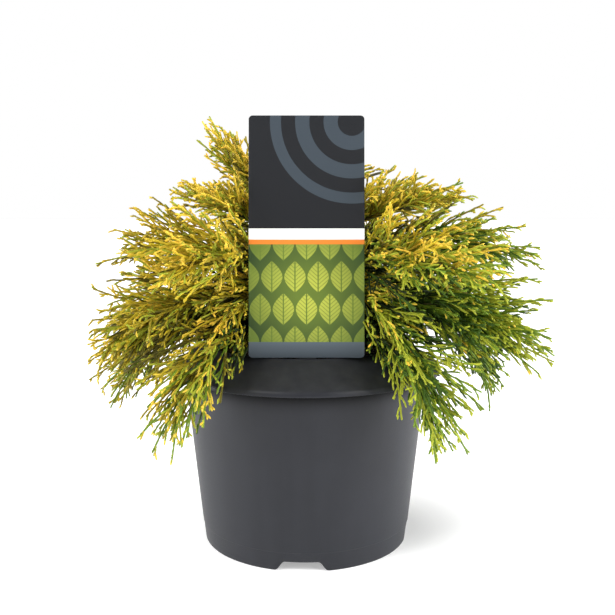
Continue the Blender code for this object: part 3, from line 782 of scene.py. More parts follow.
def turned_by(angle, tilt, lean):
    """Rotation matrices: a turn about Z after a tilt about X and a lean about Y, as arrays."""
    ca, sa, cb, sb, cc, sc = (f(v) for v in (angle, tilt, lean) for f in (np.cos, np.sin))
    zero, one = np.zeros_like(ca), np.ones_like(ca)
    spin = np.array([[ca, -sa, zero], [sa, ca, zero], [zero, zero, one]])
    roll = np.array([[one, zero, zero], [zero, cb, -sb], [zero, sb, cb]])
    bank = np.array([[cc, zero, sc], [zero, one, zero], [-sc, zero, cc]])
    return np.einsum("ijn,jkn,kln->nil", spin, roll, bank)


def make_chips(name, count, seed, tones):
    """Blocks of 2 to 8 mm scattered evenly over the compost; each corner is also moved at random."""
    chance = np.random.default_rng(seed)
    radius = (BRIM_MOUTH_RADIUS - 3.0 * MM) * np.sqrt(chance.uniform(0.0, 1.0, count))
    spot = chance.uniform(0.0, 2 * np.pi, count)
    half = np.stack([chance.uniform(1.2, 4.0, count), chance.uniform(0.8, 2.2, count),
                     chance.uniform(0.4, 1.0, count)], axis=1) * MM
    turn = turned_by(chance.uniform(0.0, 2 * np.pi, count), chance.normal(0.0, 0.35, count),
                     chance.normal(0.0, 0.35, count))
    shape = CHIP_CORNERS[None] * half[:, None] * (1 + chance.uniform(-0.25, 0.25, (count, 8, 3)))
    middle = np.stack([radius * np.cos(spot), radius * np.sin(spot),
                       np.full(count, SOIL_TOP + 0.4 * MM)], axis=1)
    points = np.einsum("nij,nkj->nki", turn, shape) + middle[:, None]
    quads = CHIP_FACES[None] + (np.arange(count) * 8)[:, None, None]
    finish = Finish(name, tones[0], 0.9)
    grain = finish.group(GRAIN, Scale=500.0, Fine_share=0.4)
    finish.colour(finish.ramp(grain, [(0.3, tones[0]), (0.7, tones[1])]))
    finish.bump(grain, 0.3 * MM, 0.6)
    chips = mesh_object(name, points.reshape(-1, 3), quads.ravel(), np.full(count * 6, 4),
                        finish.material)
    chips.data.set_sharp_from_angle(angle=CHIP_EDGE)
    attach(chips, "root")
    return chips


make_chips("dark_bark_chips", CHIP_COUNT, DARK_SEED, DARK_CHIPS)
make_chips("pale_bark_chips", CHIP_COUNT // 3, PALE_SEED, PALE_CHIPS)
print("chips of bark:", CHIP_COUNT + CHIP_COUNT // 3)

# %% [markdown]
# ## Plant label
#
# The label is one stiff plastic card that leans back a little, with a pointed tongue in the
# compost. Its outline is drawn once in the card's own plane and carried through the thickness in
# four steps, so that the edges are softly broken. The print is a generic one of plain fields,
# rings, bars and leaf ovals, worked out by nodes from the card's own coordinates.

# %% Card
LABEL_WIDTH = 73.5 * MM
LABEL_CENTRE_X = 0.7 * MM
LABEL_FOOT_Y = -66.6 * MM
LABEL_FOOT_Z = 140.5 * MM
LABEL_TOP_Z = 292.8 * MM
LABEL_THICKNESS = 1.0 * MM
LABEL_CORNER = 2.5 * MM
LABEL_LEAN = math.radians(8.0)
LABEL_HEIGHT = (LABEL_TOP_Z - LABEL_FOOT_Z) / math.cos(LABEL_LEAN)
LABEL_EDGE = 0.12 * MM
TONGUE_WIDTH = 12.0 * MM
TONGUE_LENGTH = 70.0 * MM
CORNER_POINTS = 9
CARD_EDGE = math.radians(30.0)


def quarter(centre_x, centre_up, radius, start):
    """Quarter circle round a corner's centre, from a starting angle in degrees."""
    angle = np.radians(start + np.linspace(0.0, 90.0, CORNER_POINTS))
    return np.stack([centre_x + radius * np.cos(angle), centre_up + radius * np.sin(angle)], axis=1)


def card_outline(inset):
    """Rounded rectangle with a pointed tongue below it, all moved inwards by an inset."""
    half = LABEL_WIDTH / 2 - LABEL_CORNER
    radius = LABEL_CORNER - inset
    tongue = TONGUE_WIDTH / 2 - inset
    shoulder = -0.75 * TONGUE_LENGTH
    foot = [(-tongue, inset), (-tongue, shoulder), (0.0, -TONGUE_LENGTH + 2 * inset),
            (tongue, shoulder), (tongue, inset)]
    return np.concatenate([
        quarter(half, LABEL_CORNER, radius, -90.0),
        quarter(half, LABEL_HEIGHT - LABEL_CORNER, radius, 0.0),
        quarter(-half, LABEL_HEIGHT - LABEL_CORNER, radius, 90.0),
        quarter(-half, LABEL_CORNER, radius, 180.0),
        np.array(foot),
    ])


def make_card(finish):
    """Four copies of the outline, the outer two inset, from the front face to the back face. The
    card's plane is then leant: y = foot y + depth cos a + up sin a, z = foot z + up cos a - depth
    sin a."""
    half = LABEL_THICKNESS / 2
    depths = (-half, -half + LABEL_EDGE, half - LABEL_EDGE, half)
    insets = (LABEL_EDGE, 0.0, 0.0, LABEL_EDGE)
    flat = np.stack([card_outline(inset) for inset in insets])
    depth = np.array(depths)[:, None]
    y = LABEL_FOOT_Y + depth * math.cos(LABEL_LEAN) + flat[..., 1] * math.sin(LABEL_LEAN)
    z = LABEL_FOOT_Z + flat[..., 1] * math.cos(LABEL_LEAN) - depth * math.sin(LABEL_LEAN)
    points = np.stack([LABEL_CENTRE_X + flat[..., 0], y, z], axis=-1)
    rows, columns = points.shape[:2]
    quads = grid_faces(rows, columns, True)[:, ::-1]
    front = np.arange(columns)
    back = (rows - 1) * columns + np.arange(columns)[::-1]
    corners = np.concatenate([quads.ravel(), front, back])
    counts = np.concatenate([np.full(len(quads), 4), [columns, columns]])
    card = mesh_object("plant_label", points.reshape(-1, 3), corners, counts, finish)
    card.data.set_sharp_from_angle(angle=CARD_EDGE)
    layer = card.data.uv_layers.new(name="card")
    vertex = np.empty(len(card.data.loops), np.int32)
    card.data.loops.foreach_get("vertex_index", vertex)
    place = flat.reshape(-1, 2)[vertex]
    across = place[:, 0] / LABEL_WIDTH + 0.5
    layer.data.foreach_set("uv", np.stack([across, place[:, 1] / LABEL_HEIGHT], axis=1)
                           .astype(np.float32).ravel())
    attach(card, "root")
    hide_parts("label")
    return card


print("card is", round(LABEL_WIDTH / MM, 1), "by", round(LABEL_HEIGHT / MM, 1), "mm")

# %% Print on the card
CHARCOAL = (0.0115, 0.0125, 0.015)
SLATE = (0.040, 0.052, 0.065)
PALE_SLATE = (0.100, 0.125, 0.150)
WHITE_INK = (0.86, 0.86, 0.84)
ORANGE_INK = (0.78, 0.22, 0.03)
DEEP_GREEN = (0.030, 0.060, 0.018)
MID_GREEN = (0.130, 0.190, 0.030)
LEAF_LIME = (0.480, 0.520, 0.075)
RING_PITCH = 9.0
RING_LIMIT = 52.0
LEAF_WIDTH = LABEL_WIDTH / MM / 5
LEAF_LENGTH = 20.5
LEAF_FIELD = (10.0, 72.0)
ORANGE_BAR = (72.0, 75.0)
WHITE_BAR = (75.0, 82.0)
CARD_FOOT = 10.0
BRIGHT_MIDDLE = (2.0, 40.0)
BRIGHT_CORE = 8.0
BRIGHT_REACH = 44.0
RING_CORNER = (8.0, 4.0)
LEAF_SHARE = 0.46
RIB_SHARE = 0.028
VEIN_COUNT = 8.0
VEIN_SLANT = 5.0
VEIN_SHARE = 0.16
CARD_ROUGHNESS = (0.36, 0.50)
CARD_GLOSS = 0.3


def between(finish, value, low, high):
    """One where value lies between low and high, else nought."""
    above = finish.calc("GREATER_THAN", value, low)
    return finish.calc("MULTIPLY", above, finish.calc("LESS_THAN", value, high))


def distance_to(finish, across, up, middle):
    """Distance in the card's plane from a point, by the rule of Pythagoras."""
    calc = finish.calc
    squares = [calc("POWER", calc("ABSOLUTE", calc("SUBTRACT", value, centre)), 2.0)
               for value, centre in zip((across, up), middle)]
    return calc("SQRT", calc("ADD", *squares))


def leaf_masks(finish, across, up):
    """Masks of pointed ovals in a half-drop repeat, and of the veins inside them. The oval's half
    width is a share of a column times the sine of the way along the leaf."""
    calc = finish.calc
    place = calc("DIVIDE", up, LEAF_LENGTH)
    along = calc("FRACT", place)
    shift = calc("MULTIPLY", calc("MODULO", calc("FLOOR", place), 2.0), 0.5)
    column = calc("ADD", calc("DIVIDE", across, LEAF_WIDTH), shift)
    aside = calc("ABSOLUTE", calc("SUBTRACT", calc("FRACT", calc("ADD", column, 20.0)), 0.5))
    width = calc("MULTIPLY", calc("SINE", calc("MULTIPLY", along, math.pi)), LEAF_SHARE)
    leaf = calc("LESS_THAN", aside, width)
    rib = calc("LESS_THAN", aside, RIB_SHARE)
    slanted = calc("SUBTRACT", calc("MULTIPLY", along, VEIN_COUNT), calc("MULTIPLY", aside, VEIN_SLANT))
    vein = calc("LESS_THAN", calc("FRACT", calc("ADD", slanted, 9.0)), VEIN_SHARE)
    return leaf, calc("MAXIMUM", rib, vein)


def label_finish():
    """Printed card: rings on charcoal above, two bars, leaf ovals on green, a slate foot. The back
    is plain charcoal, and the surface is half matt."""
    finish = Finish("printed card", CHARCOAL, 0.42)
    calc = finish.calc
    card = finish.node("ShaderNodeUVMap")
    card.uv_map = "card"
    side = finish.parts(card.outputs["UV"])
    across = calc("MULTIPLY", calc("SUBTRACT", side["X"], 0.5), LABEL_WIDTH / MM)
    up = calc("MULTIPLY", side["Y"], LABEL_HEIGHT / MM)
    corner = (LABEL_WIDTH / MM / 2 - RING_CORNER[0], LABEL_HEIGHT / MM - RING_CORNER[1])
    reach = distance_to(finish, across, up, corner)
    odd = calc("MODULO", calc("FLOOR", calc("DIVIDE", reach, RING_PITCH)), 2.0)
    art = finish.mix(calc("MULTIPLY", odd, calc("LESS_THAN", reach, RING_LIMIT)), CHARCOAL, SLATE)
    leaf, vein = leaf_masks(finish, across, up)
    away = distance_to(finish, across, up, BRIGHT_MIDDLE)
    glow = finish.span(away, 0.0, 1.0, BRIGHT_REACH, BRIGHT_CORE)
    leaves = finish.mix(vein, finish.mix(glow, MID_GREEN, LEAF_LIME), MID_GREEN)
    field = finish.mix(leaf, finish.mix(glow, DEEP_GREEN, MID_GREEN), leaves)
    fade = finish.mix(finish.span(up, 0.0, 1.0, 0.0, CARD_FOOT), SLATE, PALE_SLATE)
    for ends, ink in ((LEAF_FIELD, field), (ORANGE_BAR, ORANGE_INK), (WHITE_BAR, WHITE_INK),
                      ((0.0, CARD_FOOT), fade)):
        art = finish.mix(between(finish, up, *ends), art, ink)
    normal = finish.parts(finish.node("ShaderNodeNewGeometry").outputs["Normal"])
    finish.colour(finish.mix(calc("LESS_THAN", normal["Y"]), CHARCOAL, art))
    grain = finish.group(GRAIN, Scale=700.0, Fine_share=0.5)
    finish.roughness(finish.span(grain, *CARD_ROUGHNESS))
    finish.bump(grain, 0.02 * MM, 0.3)
    finish.shader.inputs["Specular IOR Level"].default_value = CARD_GLOSS
    return finish.material


print("label faces:", len(make_card(label_finish()).data.polygons))

# %% [markdown]
# ## The skeleton of the crown
#
# The trunk is short, leans a little and ends inside the crown. Rings of boughs spring from it.
# Each bough is one quadratic curve given by three points: a root on the trunk's axis, a crest that
# it bends towards, and a tip at the crown's edge. Its first part is bare wood and the rest is the
# stem that the foliage grows from. The same sizes and the same seed as in the construction model
# give the same curves here.

# %% Tiers of boughs
Tier = namedtuple(
    "Tier", "name count first last root stagger crest_reach crest tip_reach tip bough spread fall "
    "thick lid")
TIERS = (
    Tier("skirt", 6, -50, 232, 142, 7, 100, 180, 126, 103, 0.40, 42, 0.20, 2.8, 105),
    Tier("lower", 6, -26, 206, 158, 8, 84, 190, 149, 145, 0.30, 44, 0.12, 2.8, 105),
    Tier("cheek", 2, -54, 230, 170, 4, 44, 196, 88, 160, 0.34, 46, 0.18, 2.2, 105),
    Tier("middle", 6, -50, 230, 182, 8, 72, 212, 146, 199, 0.26, 44, 0.06, 2.6, 105),
    Tier("upper", 5, -38, 218, 202, 10, 48, 232, 104, 238, 0.24, 44, 0.0, 2.1, 105),
    Tier("breast", 1, -88, -88, 152, 0, 36, 200, 50, 158, 0.45, 40, 0.30, 2.2, 105),
    Tier("brow", 1, -84, -84, 198, 0, 34, 250, 50, 216, 0.40, 40, 0.20, 2.0, 105),
    Tier("tuft", 1, 172, 172, 222, 0, 32, 238, 64, 280, 0.0, 30, -0.10, 2.0, 140),
    Tier("top", 1, 22, 22, 240, 0, 26, 250, 66, 262, 0.0, 42, 0.0, 2.0, 105),
)
CROWN_REACH = 156.0 * MM
CROWN_CENTRE_X = 9.0 * MM
CROWN_MIDDLE = 160.0 * MM
CROWN_DOWN = 105.0 * MM
CROWN_LEAN = 0.15
CROWN_FULLNESS = 2.8
REACH_VARIATION = 0.06
CROWN_SEED = 27
GOLDEN_ANGLE = 137.5
TRUNK_FOOT_RADIUS = 10.0 * MM
TRUNK_RADIUS = 6.6 * MM
TRUNK_TIP_RADIUS = 1.6 * MM
TRUNK_TOP = 262.0 * MM
TRUNK_FOOT_X = 2.0 * MM
TRUNK_FOOT_Y = 5.0 * MM
TRUNK_LEAN_X = -12.0 * MM
TRUNK_LEAN_Y = 7.0 * MM
TRUNK_BEND = 3.0 * MM
FLARE_HEIGHT = 14.0 * MM


def unit(vectors):
    """Vectors divided by their lengths."""
    return vectors / np.linalg.norm(vectors, axis=-1, keepdims=True)


def trunk_centre(height):
    """Trunk's axis: a straight lean plus one shallow sine bend."""
    share = (height - SOIL_TOP) / (TRUNK_TOP - SOIL_TOP)
    bend = TRUNK_BEND * np.sin(2 * np.pi * share)
    return np.stack([TRUNK_FOOT_X + TRUNK_LEAN_X * share + bend,
                     TRUNK_FOOT_Y + TRUNK_LEAN_Y * share - bend * 0.5, height + 0 * share], axis=-1)


def trunk_radius(height):
    """Trunk's radius: an even taper plus a root flare that dies out upwards."""
    share = (height - SOIL_TOP) / (TRUNK_TOP - SOIL_TOP)
    flare = (TRUNK_FOOT_RADIUS - TRUNK_RADIUS) * np.exp(-(height - SOIL_TOP) / FLARE_HEIGHT * 2.5)
    return TRUNK_RADIUS + (TRUNK_TIP_RADIUS - TRUNK_RADIUS) * share + flare


def crown_centre(z):
    """Crown's middle at a height: offset to the right, and less and less so below the middle."""
    return CROWN_CENTRE_X + CROWN_LEAN * np.minimum(z - CROWN_MIDDLE, 0.0)


def bough_curve(tier, number, chance):
    """The three points of one bough: root, crest and tip."""
    steps = max(tier.count - 1, 1)
    azimuth = math.radians(tier.first + (tier.last - tier.first) * number / steps)
    out = np.array((math.cos(azimuth), math.sin(azimuth), 0.0))
    root_z = (tier.root + chance.uniform(-2, 2) + tier.stagger * (number % 2)) * MM
    reach = tier.tip_reach * MM * (1 + chance.uniform(-1, 1) * REACH_VARIATION)
    tip_z = (tier.tip + chance.uniform(-6, 6) * (tier.count > 1)) * MM
    shift = np.array((crown_centre(tip_z) * reach / CROWN_REACH, 0.0, 0.0))
    crest = shift / 2 + out * tier.crest_reach * MM + UP * tier.crest * MM
    return trunk_centre(np.array(root_z)), crest, shift + out * reach + UP * tip_z


BOUGH_CHANCE = np.random.default_rng(CROWN_SEED)
BOUGHS = [(tier, number) for tier in TIERS for number in range(tier.count)]
BENDS = np.array([bough_curve(tier, number, BOUGH_CHANCE) for tier, number in BOUGHS])
STEM_START, SPREAD, FALL, THICK, LID = (np.array([getattr(tier, field) for tier, _ in BOUGHS], float)
                                        for field in ("bough", "spread", "fall", "thick", "lid"))
MASS_NAMES = [f"{tier.name}_{number + 1}" for tier, number in BOUGHS]
print("boughs:", len(BOUGHS), "furthest tip in mm:",
      round(float(np.linalg.norm(BENDS[:, 2, :2], axis=1).max()) / MM, 1))

# %% Places on the boughs


def on_bough(owner, share):
    """Point on the quadratic curve: (1-t)^2 root + 2t(1-t) crest + t^2 tip."""
    root, crest, tip = np.moveaxis(BENDS[owner], 1, 0)
    t = share[..., None]
    return (1 - t) ** 2 * root + 2 * t * (1 - t) * crest + t**2 * tip


def along_bough(owner, share):
    """Direction of the curve there: its derivative, made a unit vector."""
    root, crest, tip = np.moveaxis(BENDS[owner], 1, 0)
    t = share[..., None]
    return unit((1 - t) * (crest - root) + t * (tip - crest))


def paths_on(owner, share):
    """Paths on several boughs, from one row of shares for each."""
    count = share.shape[1]
    return on_bough(np.repeat(owner, count), share.ravel()).reshape(len(owner), count, 3)


STEM_MARKS = 5
MASS_COUNT = len(BOUGHS)
STEM_SHARE = STEM_START[:, None] + (1 - STEM_START[:, None]) * np.linspace(0.0, 1.0, STEM_MARKS)
STEMS = paths_on(np.arange(MASS_COUNT), STEM_SHARE)
STEM_LENGTH = np.linalg.norm(np.diff(STEMS, axis=1), axis=2).sum(axis=1)
print("stems of foliage in mm:", np.round(STEM_LENGTH / MM).astype(int).tolist())

# %% [markdown]
# ## Bark
#
# Old cypress bark is red-brown and splits into long narrow strips, and young shoots are still
# green-brown. So one finish is built twice, with other tones. A limb is a ring of points
# carried along its path, and the ring's radius rises and falls with the angle to give ridges that
# wander slowly along the limb. The trunk and the boughs share that one function.

# %% Limb surfaces


def ring_frames(path):
    """Two unit vectors across each path at each point, with as little twist as a fixed guide
    direction gives. Paths are an array of (limb, point, 3)."""
    along = unit(np.gradient(path, axis=1))
    guide = np.where(np.abs(along[:, :1, 2:]) < 0.9, UP, np.array((1.0, 0.0, 0.0)))
    side = unit(np.cross(along, np.broadcast_to(guide, along.shape)))
    return side, np.cross(along, side)


def limb_points(path, radius, sides, ridges, depth, chance):
    """Rings round each path: point = path + r (cos a side + sin a other), where r is the radius
    times one plus the depth times a sum of three sines of the angle and the way along."""
    limbs, rings = path.shape[:2]
    angle = np.linspace(0.0, 2 * np.pi, sides, endpoint=False)
    way = np.linspace(0.0, 1.0, rings)[None, :, None]
    relief = np.zeros((limbs, rings, sides))
    for step in range(3):
        turn = chance.uniform(0.0, 2 * np.pi, (limbs, 1, 1))
        drift = chance.uniform(-5.0, 5.0, (limbs, 1, 1))
        wobble = np.sin(way * chance.uniform(9.0, 30.0, (limbs, 1, 1)) + turn)
        relief += np.sin(angle * (ridges + 3 * step) + turn + drift * way + wobble) / (step + 1)
    size = radius[..., None] * (1 + depth * relief)
    side, other = ring_frames(path)
    return (path[:, :, None] + size[..., None] * (np.cos(angle)[:, None] * side[:, :, None]
                                                  + np.sin(angle)[:, None] * other[:, :, None]))


def limbs_object(name, points, material):
    """Mesh of closed limbs from (limb, ring, side) points; each end is closed by one face."""
    limbs, rings, sides = points.shape[:3]
    start = (np.arange(limbs) * rings * sides)[:, None]
    quads = (grid_faces(rings, sides, True).ravel()[None] + start).ravel()
    foot = (np.arange(sides)[::-1][None] + start).ravel()
    tip = (np.arange(sides)[None] + (rings - 1) * sides + start).ravel()
    counts = np.concatenate([np.full(len(quads) // 4, 4), np.full(2 * limbs, sides)])
    corners = np.concatenate([quads, foot, tip])
    return mesh_object(name, points.reshape(-1, 3), corners, counts, material)


UPRIGHT = UP * np.linspace(0.0, 1.0, 3)[None, :, None]
print("frame of an upright limb:", [vectors[0, 0].tolist() for vectors in ring_frames(UPRIGHT)])

# %% Bark finish and limbs
TRUNK_RINGS = 140
TRUNK_SIDES = 48
BOUGH_RINGS = 40
BOUGH_SIDES = 16
BOUGH_TIP_RADIUS = 1.7 * MM
TRUNK_SEED = 3
BOUGH_SEED = 4
STRIP_SCALE = (420.0, 420.0, 60.0)
OLD_BARK = ((0.040, 0.020, 0.010), (0.110, 0.056, 0.026), (0.230, 0.150, 0.090))
YOUNG_BARK = ((0.020, 0.020, 0.006), (0.060, 0.056, 0.014), (0.130, 0.105, 0.040))


def bark_finish(name, tones):
    """Stringy bark: noise stretched along the upright gives the strips their colour and relief."""
    finish = Finish(name, tones[1], 0.9)
    grain = finish.group(GRAIN, Scale=180.0, Fine_share=0.5)
    strips = finish.streaks(STRIP_SCALE, 4.0)
    shade = finish.calc("ADD", finish.calc("MULTIPLY", strips, 0.7), finish.calc("MULTIPLY", grain, 0.3))
    finish.colour(finish.ramp(shade, list(zip((0.32, 0.52, 0.70), tones))))
    finish.roughness(finish.span(grain, 0.75, 1.0))
    finish.bump(shade, 0.5 * MM, 0.7)
    return finish.material


BARK = bark_finish("stringy bark", OLD_BARK)
GREEN_BARK = bark_finish("young bark", YOUNG_BARK)


def make_trunk():
    """The trunk from just under the compost to its tip, which is drawn in."""
    height = np.linspace(SOIL_TOP - 2.0 * MM, TRUNK_TOP, TRUNK_RINGS)
    radius = trunk_radius(height)
    radius[-1] *= 0.3
    points = limb_points(trunk_centre(height)[None], radius[None], TRUNK_SIDES, 9, 0.055,
                         np.random.default_rng(TRUNK_SEED))
    trunk = limbs_object("trunk_bark", points, BARK)
    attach(trunk, "root")
    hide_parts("trunk")
    return trunk


def make_boughs():
    """Bare boughs from inside the trunk to where their foliage starts, each with a thicker root."""
    bare = np.flatnonzero(STEM_START > 0)
    share = STEM_START[bare, None] * np.linspace(0.0, 1.0, BOUGH_RINGS)
    way = np.linspace(0.0, 1.0, BOUGH_RINGS)
    root = THICK[bare, None] * MM
    radius = root + (BOUGH_TIP_RADIUS - root) * way + 0.35 * root * np.exp(-way * 9.0)
    points = limb_points(paths_on(bare, share), radius, BOUGH_SIDES, 5, 0.06,
                         np.random.default_rng(BOUGH_SEED))
    boughs = limbs_object("boughs_bark", points, GREEN_BARK)
    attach(boughs, "root")
    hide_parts(*[f"bough_{MASS_NAMES[k]}" for k in bare])
    return boughs


print("bark faces:", len(make_trunk().data.polygons) + len(make_boughs().data.polygons))

# %% [markdown]
# ## Growing the threads
#
# The foliage of a threadleaf cypress is a tangle of whip-like shoots. Each carries shorter side
# shoots to left and right, and these fork once more. A particle system could scatter them, but a
# rule keeps to the boughs. It grows the threads level by level, with all threads of one level
# worked out together: where a thread starts, which way it heads, how long it is and how much it
# hangs. Whips leave the stems, the bare boughs and the top of the trunk. A whip may pass the
# border to the next stem's space by no more than a small slack. All threads stay clear of the pot
# and the label and near the crown's outer limit, some well inside and some just past it, which
# keeps the outline ragged. A thread that doesn't fit is shortened a few times and then left out.

# %% Room for a thread
SPACE_SLACK = 9.0 * MM
OUTER_MARGIN = 6.0 * MM
BRIM_SLANT = 0.84


def path_distance(places, path):
    """Distance from each place to a path of straight runs: to the nearest point of each run."""
    start, run = path[:-1][None], np.diff(path, axis=0)[None]
    offset = places[:, None] - start
    share = np.clip((offset * run).sum(axis=2) / (run * run).sum(axis=2), 0.0, 1.0)
    return np.linalg.norm(offset - share[..., None] * run, axis=2).min(axis=1)


def crown_level(z, owner):
    """Share of the way from the crown's middle up to the lid of the mass, or down to the hem."""
    half = np.where(z > CROWN_MIDDLE, LID[owner] * MM, CROWN_DOWN)
    return np.abs(z - CROWN_MIDDLE) / half


def crown_limit(z, owner):
    """Outer radius of the crown at a height: a rounded dome above its middle and below it."""
    level = np.minimum(crown_level(z, owner), 1.0)
    return CROWN_REACH * (1 - level**CROWN_FULLNESS) ** (1 / CROWN_FULLNESS)


def own_space(places, owner):
    """Half of how much nearer each place lies to its own stem than to any other stem."""
    near = np.stack([path_distance(places, stem) for stem in STEMS], axis=1)
    row = np.arange(len(places))
    own = near[row, owner]
    near[row, owner] = np.inf
    return (near.min(axis=1) - own) / 2


def open_space(places, owner):
    """Distances to the pot, to the label and to the crown's outer limit."""
    x, y, z = places.T
    radius = np.hypot(x, y)
    roof = np.where(radius < BRIM_MOUTH_RADIUS, BRIM_TOP, brim_height(radius))
    over_pot = np.maximum((z - roof) * BRIM_SLANT, radius - BRIM_RADIUS)
    card_y = LABEL_FOOT_Y + (z - LABEL_FOOT_Z) * math.tan(LABEL_LEAN)
    aside = np.abs(x - LABEL_CENTRE_X) - LABEL_WIDTH / 2
    beside_label = np.maximum(np.maximum(y - card_y - LABEL_THICKNESS, aside), z - LABEL_TOP_Z)
    inside = crown_limit(z, owner) + OUTER_MARGIN - np.hypot(x - crown_centre(z), y)
    return over_pot, beside_label, np.minimum(inside, LABEL_TOP_Z - z)


print("crown's outer radius at 200 mm, in mm:", round(float(crown_limit(np.array(0.2), 0)) / MM, 1))

# %% Threads as arrays
Threads = namedtuple("Threads", "root heading length fall sway flat owner spray")
CHECK_MARKS = 5
FIRST_CHECK = 0.2
SHORTER = 0.82


def thread_points(threads, share):
    """Path of each thread: root + heading L s + (sway - up fall) L s^2, at shares s."""
    length = threads.length[:, None, None]
    s = share[None, :, None]
    bend = threads.sway - UP * threads.fall[:, None]
    return threads.root[:, None] + threads.heading[:, None] * length * s + bend[:, None] * length * s**2


def picked(threads, rows):
    """Some of the threads, by their rows."""
    return Threads(*(field[rows] for field in threads))


def thread_spots(threads, which, share):
    """Places on the chosen threads at one share each, and the directions there: the derivative,
    made a unit vector."""
    chosen = picked(threads, which)
    s, length = share[:, None], chosen.length[:, None]
    bend = chosen.sway - UP * chosen.fall[:, None]
    place = chosen.root + chosen.heading * length * s + bend * length * s**2
    return place, unit(chosen.heading + 2 * bend * s)


def settle(threads, clear, margin, slack, tries):
    """Shorten each thread until all its marks have room, and drop it when no try is left."""
    waiting = np.arange(len(threads.length))
    length = threads.length.copy()
    kept = np.zeros(len(length), bool)
    share = np.linspace(FIRST_CHECK, 1.0, CHECK_MARKS)
    for _ in range(tries):
        here = picked(threads, waiting)._replace(length=length[waiting])
        places = thread_points(here, share).reshape(-1, 3)
        owner = np.repeat(here.owner, CHECK_MARKS)
        over_pot, beside_label, inside = open_space(places, owner)
        free = np.minimum(np.minimum(over_pot, beside_label) - clear,
                          inside - np.repeat(margin[waiting], CHECK_MARKS))
        if slack is not None:
            free = np.minimum(free, own_space(places, owner) + slack)
        fits = free.reshape(-1, CHECK_MARKS).min(axis=1) > 0
        kept[waiting[fits]] = True
        waiting = waiting[~fits]
        length[waiting] *= SHORTER
    return np.flatnonzero(kept), length


print("checks per thread:", CHECK_MARKS)

# %% First level: whips on the stems
WHIP_SPACING = 1.9 * MM
CLOSE_SPACING = {"skirt": 2.1 * MM, "lower": 1.5 * MM, "tuft": 1.6 * MM}
WHIP_SHARE = 0.80
WHIP_SWAY = 0.18
WHIP_WANDER = 0.12
WHIP_CLEAR = 0.8 * MM
WHIP_TRIES = 7
INNER_SPACING = 2.2 * MM
INNER_LENGTH = 48.0 * MM
CREST_COUNT = 44
CREST_LENGTH = 30.0 * MM
CREST_HEIGHTS = (226.0 * MM, 260.0 * MM)
CREST_RISE = (0.3, 1.1)
CROWN_HEART = np.array((0.0, 5.0, 162.0)) * MM
OUTWARD_PULL = 0.75
TIER_RISE = {"upper": 0.28, "top": 0.1, "middle": 0.06}
WHIP_TURN = 20.0
WHIP_ROLL = 40.0
SPRAY_FLATNESS = 0.8
SPREAD_SCATTER = 8.0
INNER_SPREAD = 25.0
EDGE_START = -11.0 * MM
EDGE_SCATTER = 43.0 * MM
TIER_SCATTER = {"skirt": 34.0 * MM, "lower": 34.0 * MM, "tuft": 34.0 * MM, "upper": 50.0 * MM,
                "top": 56.0 * MM}


def counted_off(count):
    """For things dealt out by counts: whose each one is, and its number there, from nought."""
    owner = np.repeat(np.arange(len(count)), count)
    return owner, np.arange(len(owner)) - np.repeat(np.cumsum(count) - count, count)


def by_mass(table, usual):
    """For each mass the value that the table gives its tier, or else the usual one."""
    return np.array([table.get(tier.name, usual) for tier, _ in BOUGHS])


def whips_at(owner, place, number, length, spread, chance):
    """Whips that leave the boughs at the given places, a golden angle apart. Each heads along its
    bough, turned aside by the spread, pulled outwards from the heart of the crown and, on the upper
    tiers, lifted."""
    total = len(owner)
    along = along_bough(owner, place)
    level = unit(np.cross(along, UP))
    turn = np.radians(number * GOLDEN_ANGLE + chance.uniform(-WHIP_TURN, WHIP_TURN, total))[:, None]
    sideways = level * np.cos(turn) + np.cross(level, along) * np.sin(turn) * SPRAY_FLATNESS
    heading = unit(along * np.cos(spread)[:, None] + sideways * np.sin(spread)[:, None])
    root = on_bough(owner, place)
    lift = by_mass(TIER_RISE, 0.0)[owner][:, None] * UP
    heading = unit(heading + unit(root - CROWN_HEART) * OUTWARD_PULL + lift
                   + chance.normal(0.0, WHIP_WANDER, (total, 3)))
    aside = unit(np.cross(heading, chance.normal(size=(total, 3))))
    sway = aside * chance.uniform(0, WHIP_SWAY, (total, 1))
    roll = np.radians(chance.normal(0.0, WHIP_ROLL, total))[:, None]
    across = unit(np.cross(heading, UP))
    flat = np.cross(across, heading) * np.cos(roll) + across * np.sin(roll)
    fall = FALL[owner] * chance.uniform(0.7, 1.3, total)
    return Threads(root, heading, length * chance.uniform(0.80, 1.15, total), fall, sway, flat, owner,
                   np.arange(total))


def crest_whips(chance):
    """Short whips round the top of the trunk, a golden angle apart, which rise and lean out."""
    number = np.arange(CREST_COUNT)
    height = np.linspace(*CREST_HEIGHTS, CREST_COUNT)
    angle = np.radians(number * GOLDEN_ANGLE)
    outward = np.stack([np.cos(angle), np.sin(angle), 0 * angle], axis=1)
    heading = unit(outward + UP * chance.uniform(*CREST_RISE, (CREST_COUNT, 1)))
    sway = chance.normal(0.0, 0.5 * WHIP_SWAY, (CREST_COUNT, 3))
    owner = np.where(outward[:, 0] < 0, MASS_COUNT - 2, MASS_COUNT - 1)
    return Threads(trunk_centre(height), heading, CREST_LENGTH * chance.uniform(0.7, 1.2, CREST_COUNT),
                   np.full(CREST_COUNT, 0.05), sway, np.cross(heading, UP), owner, number)


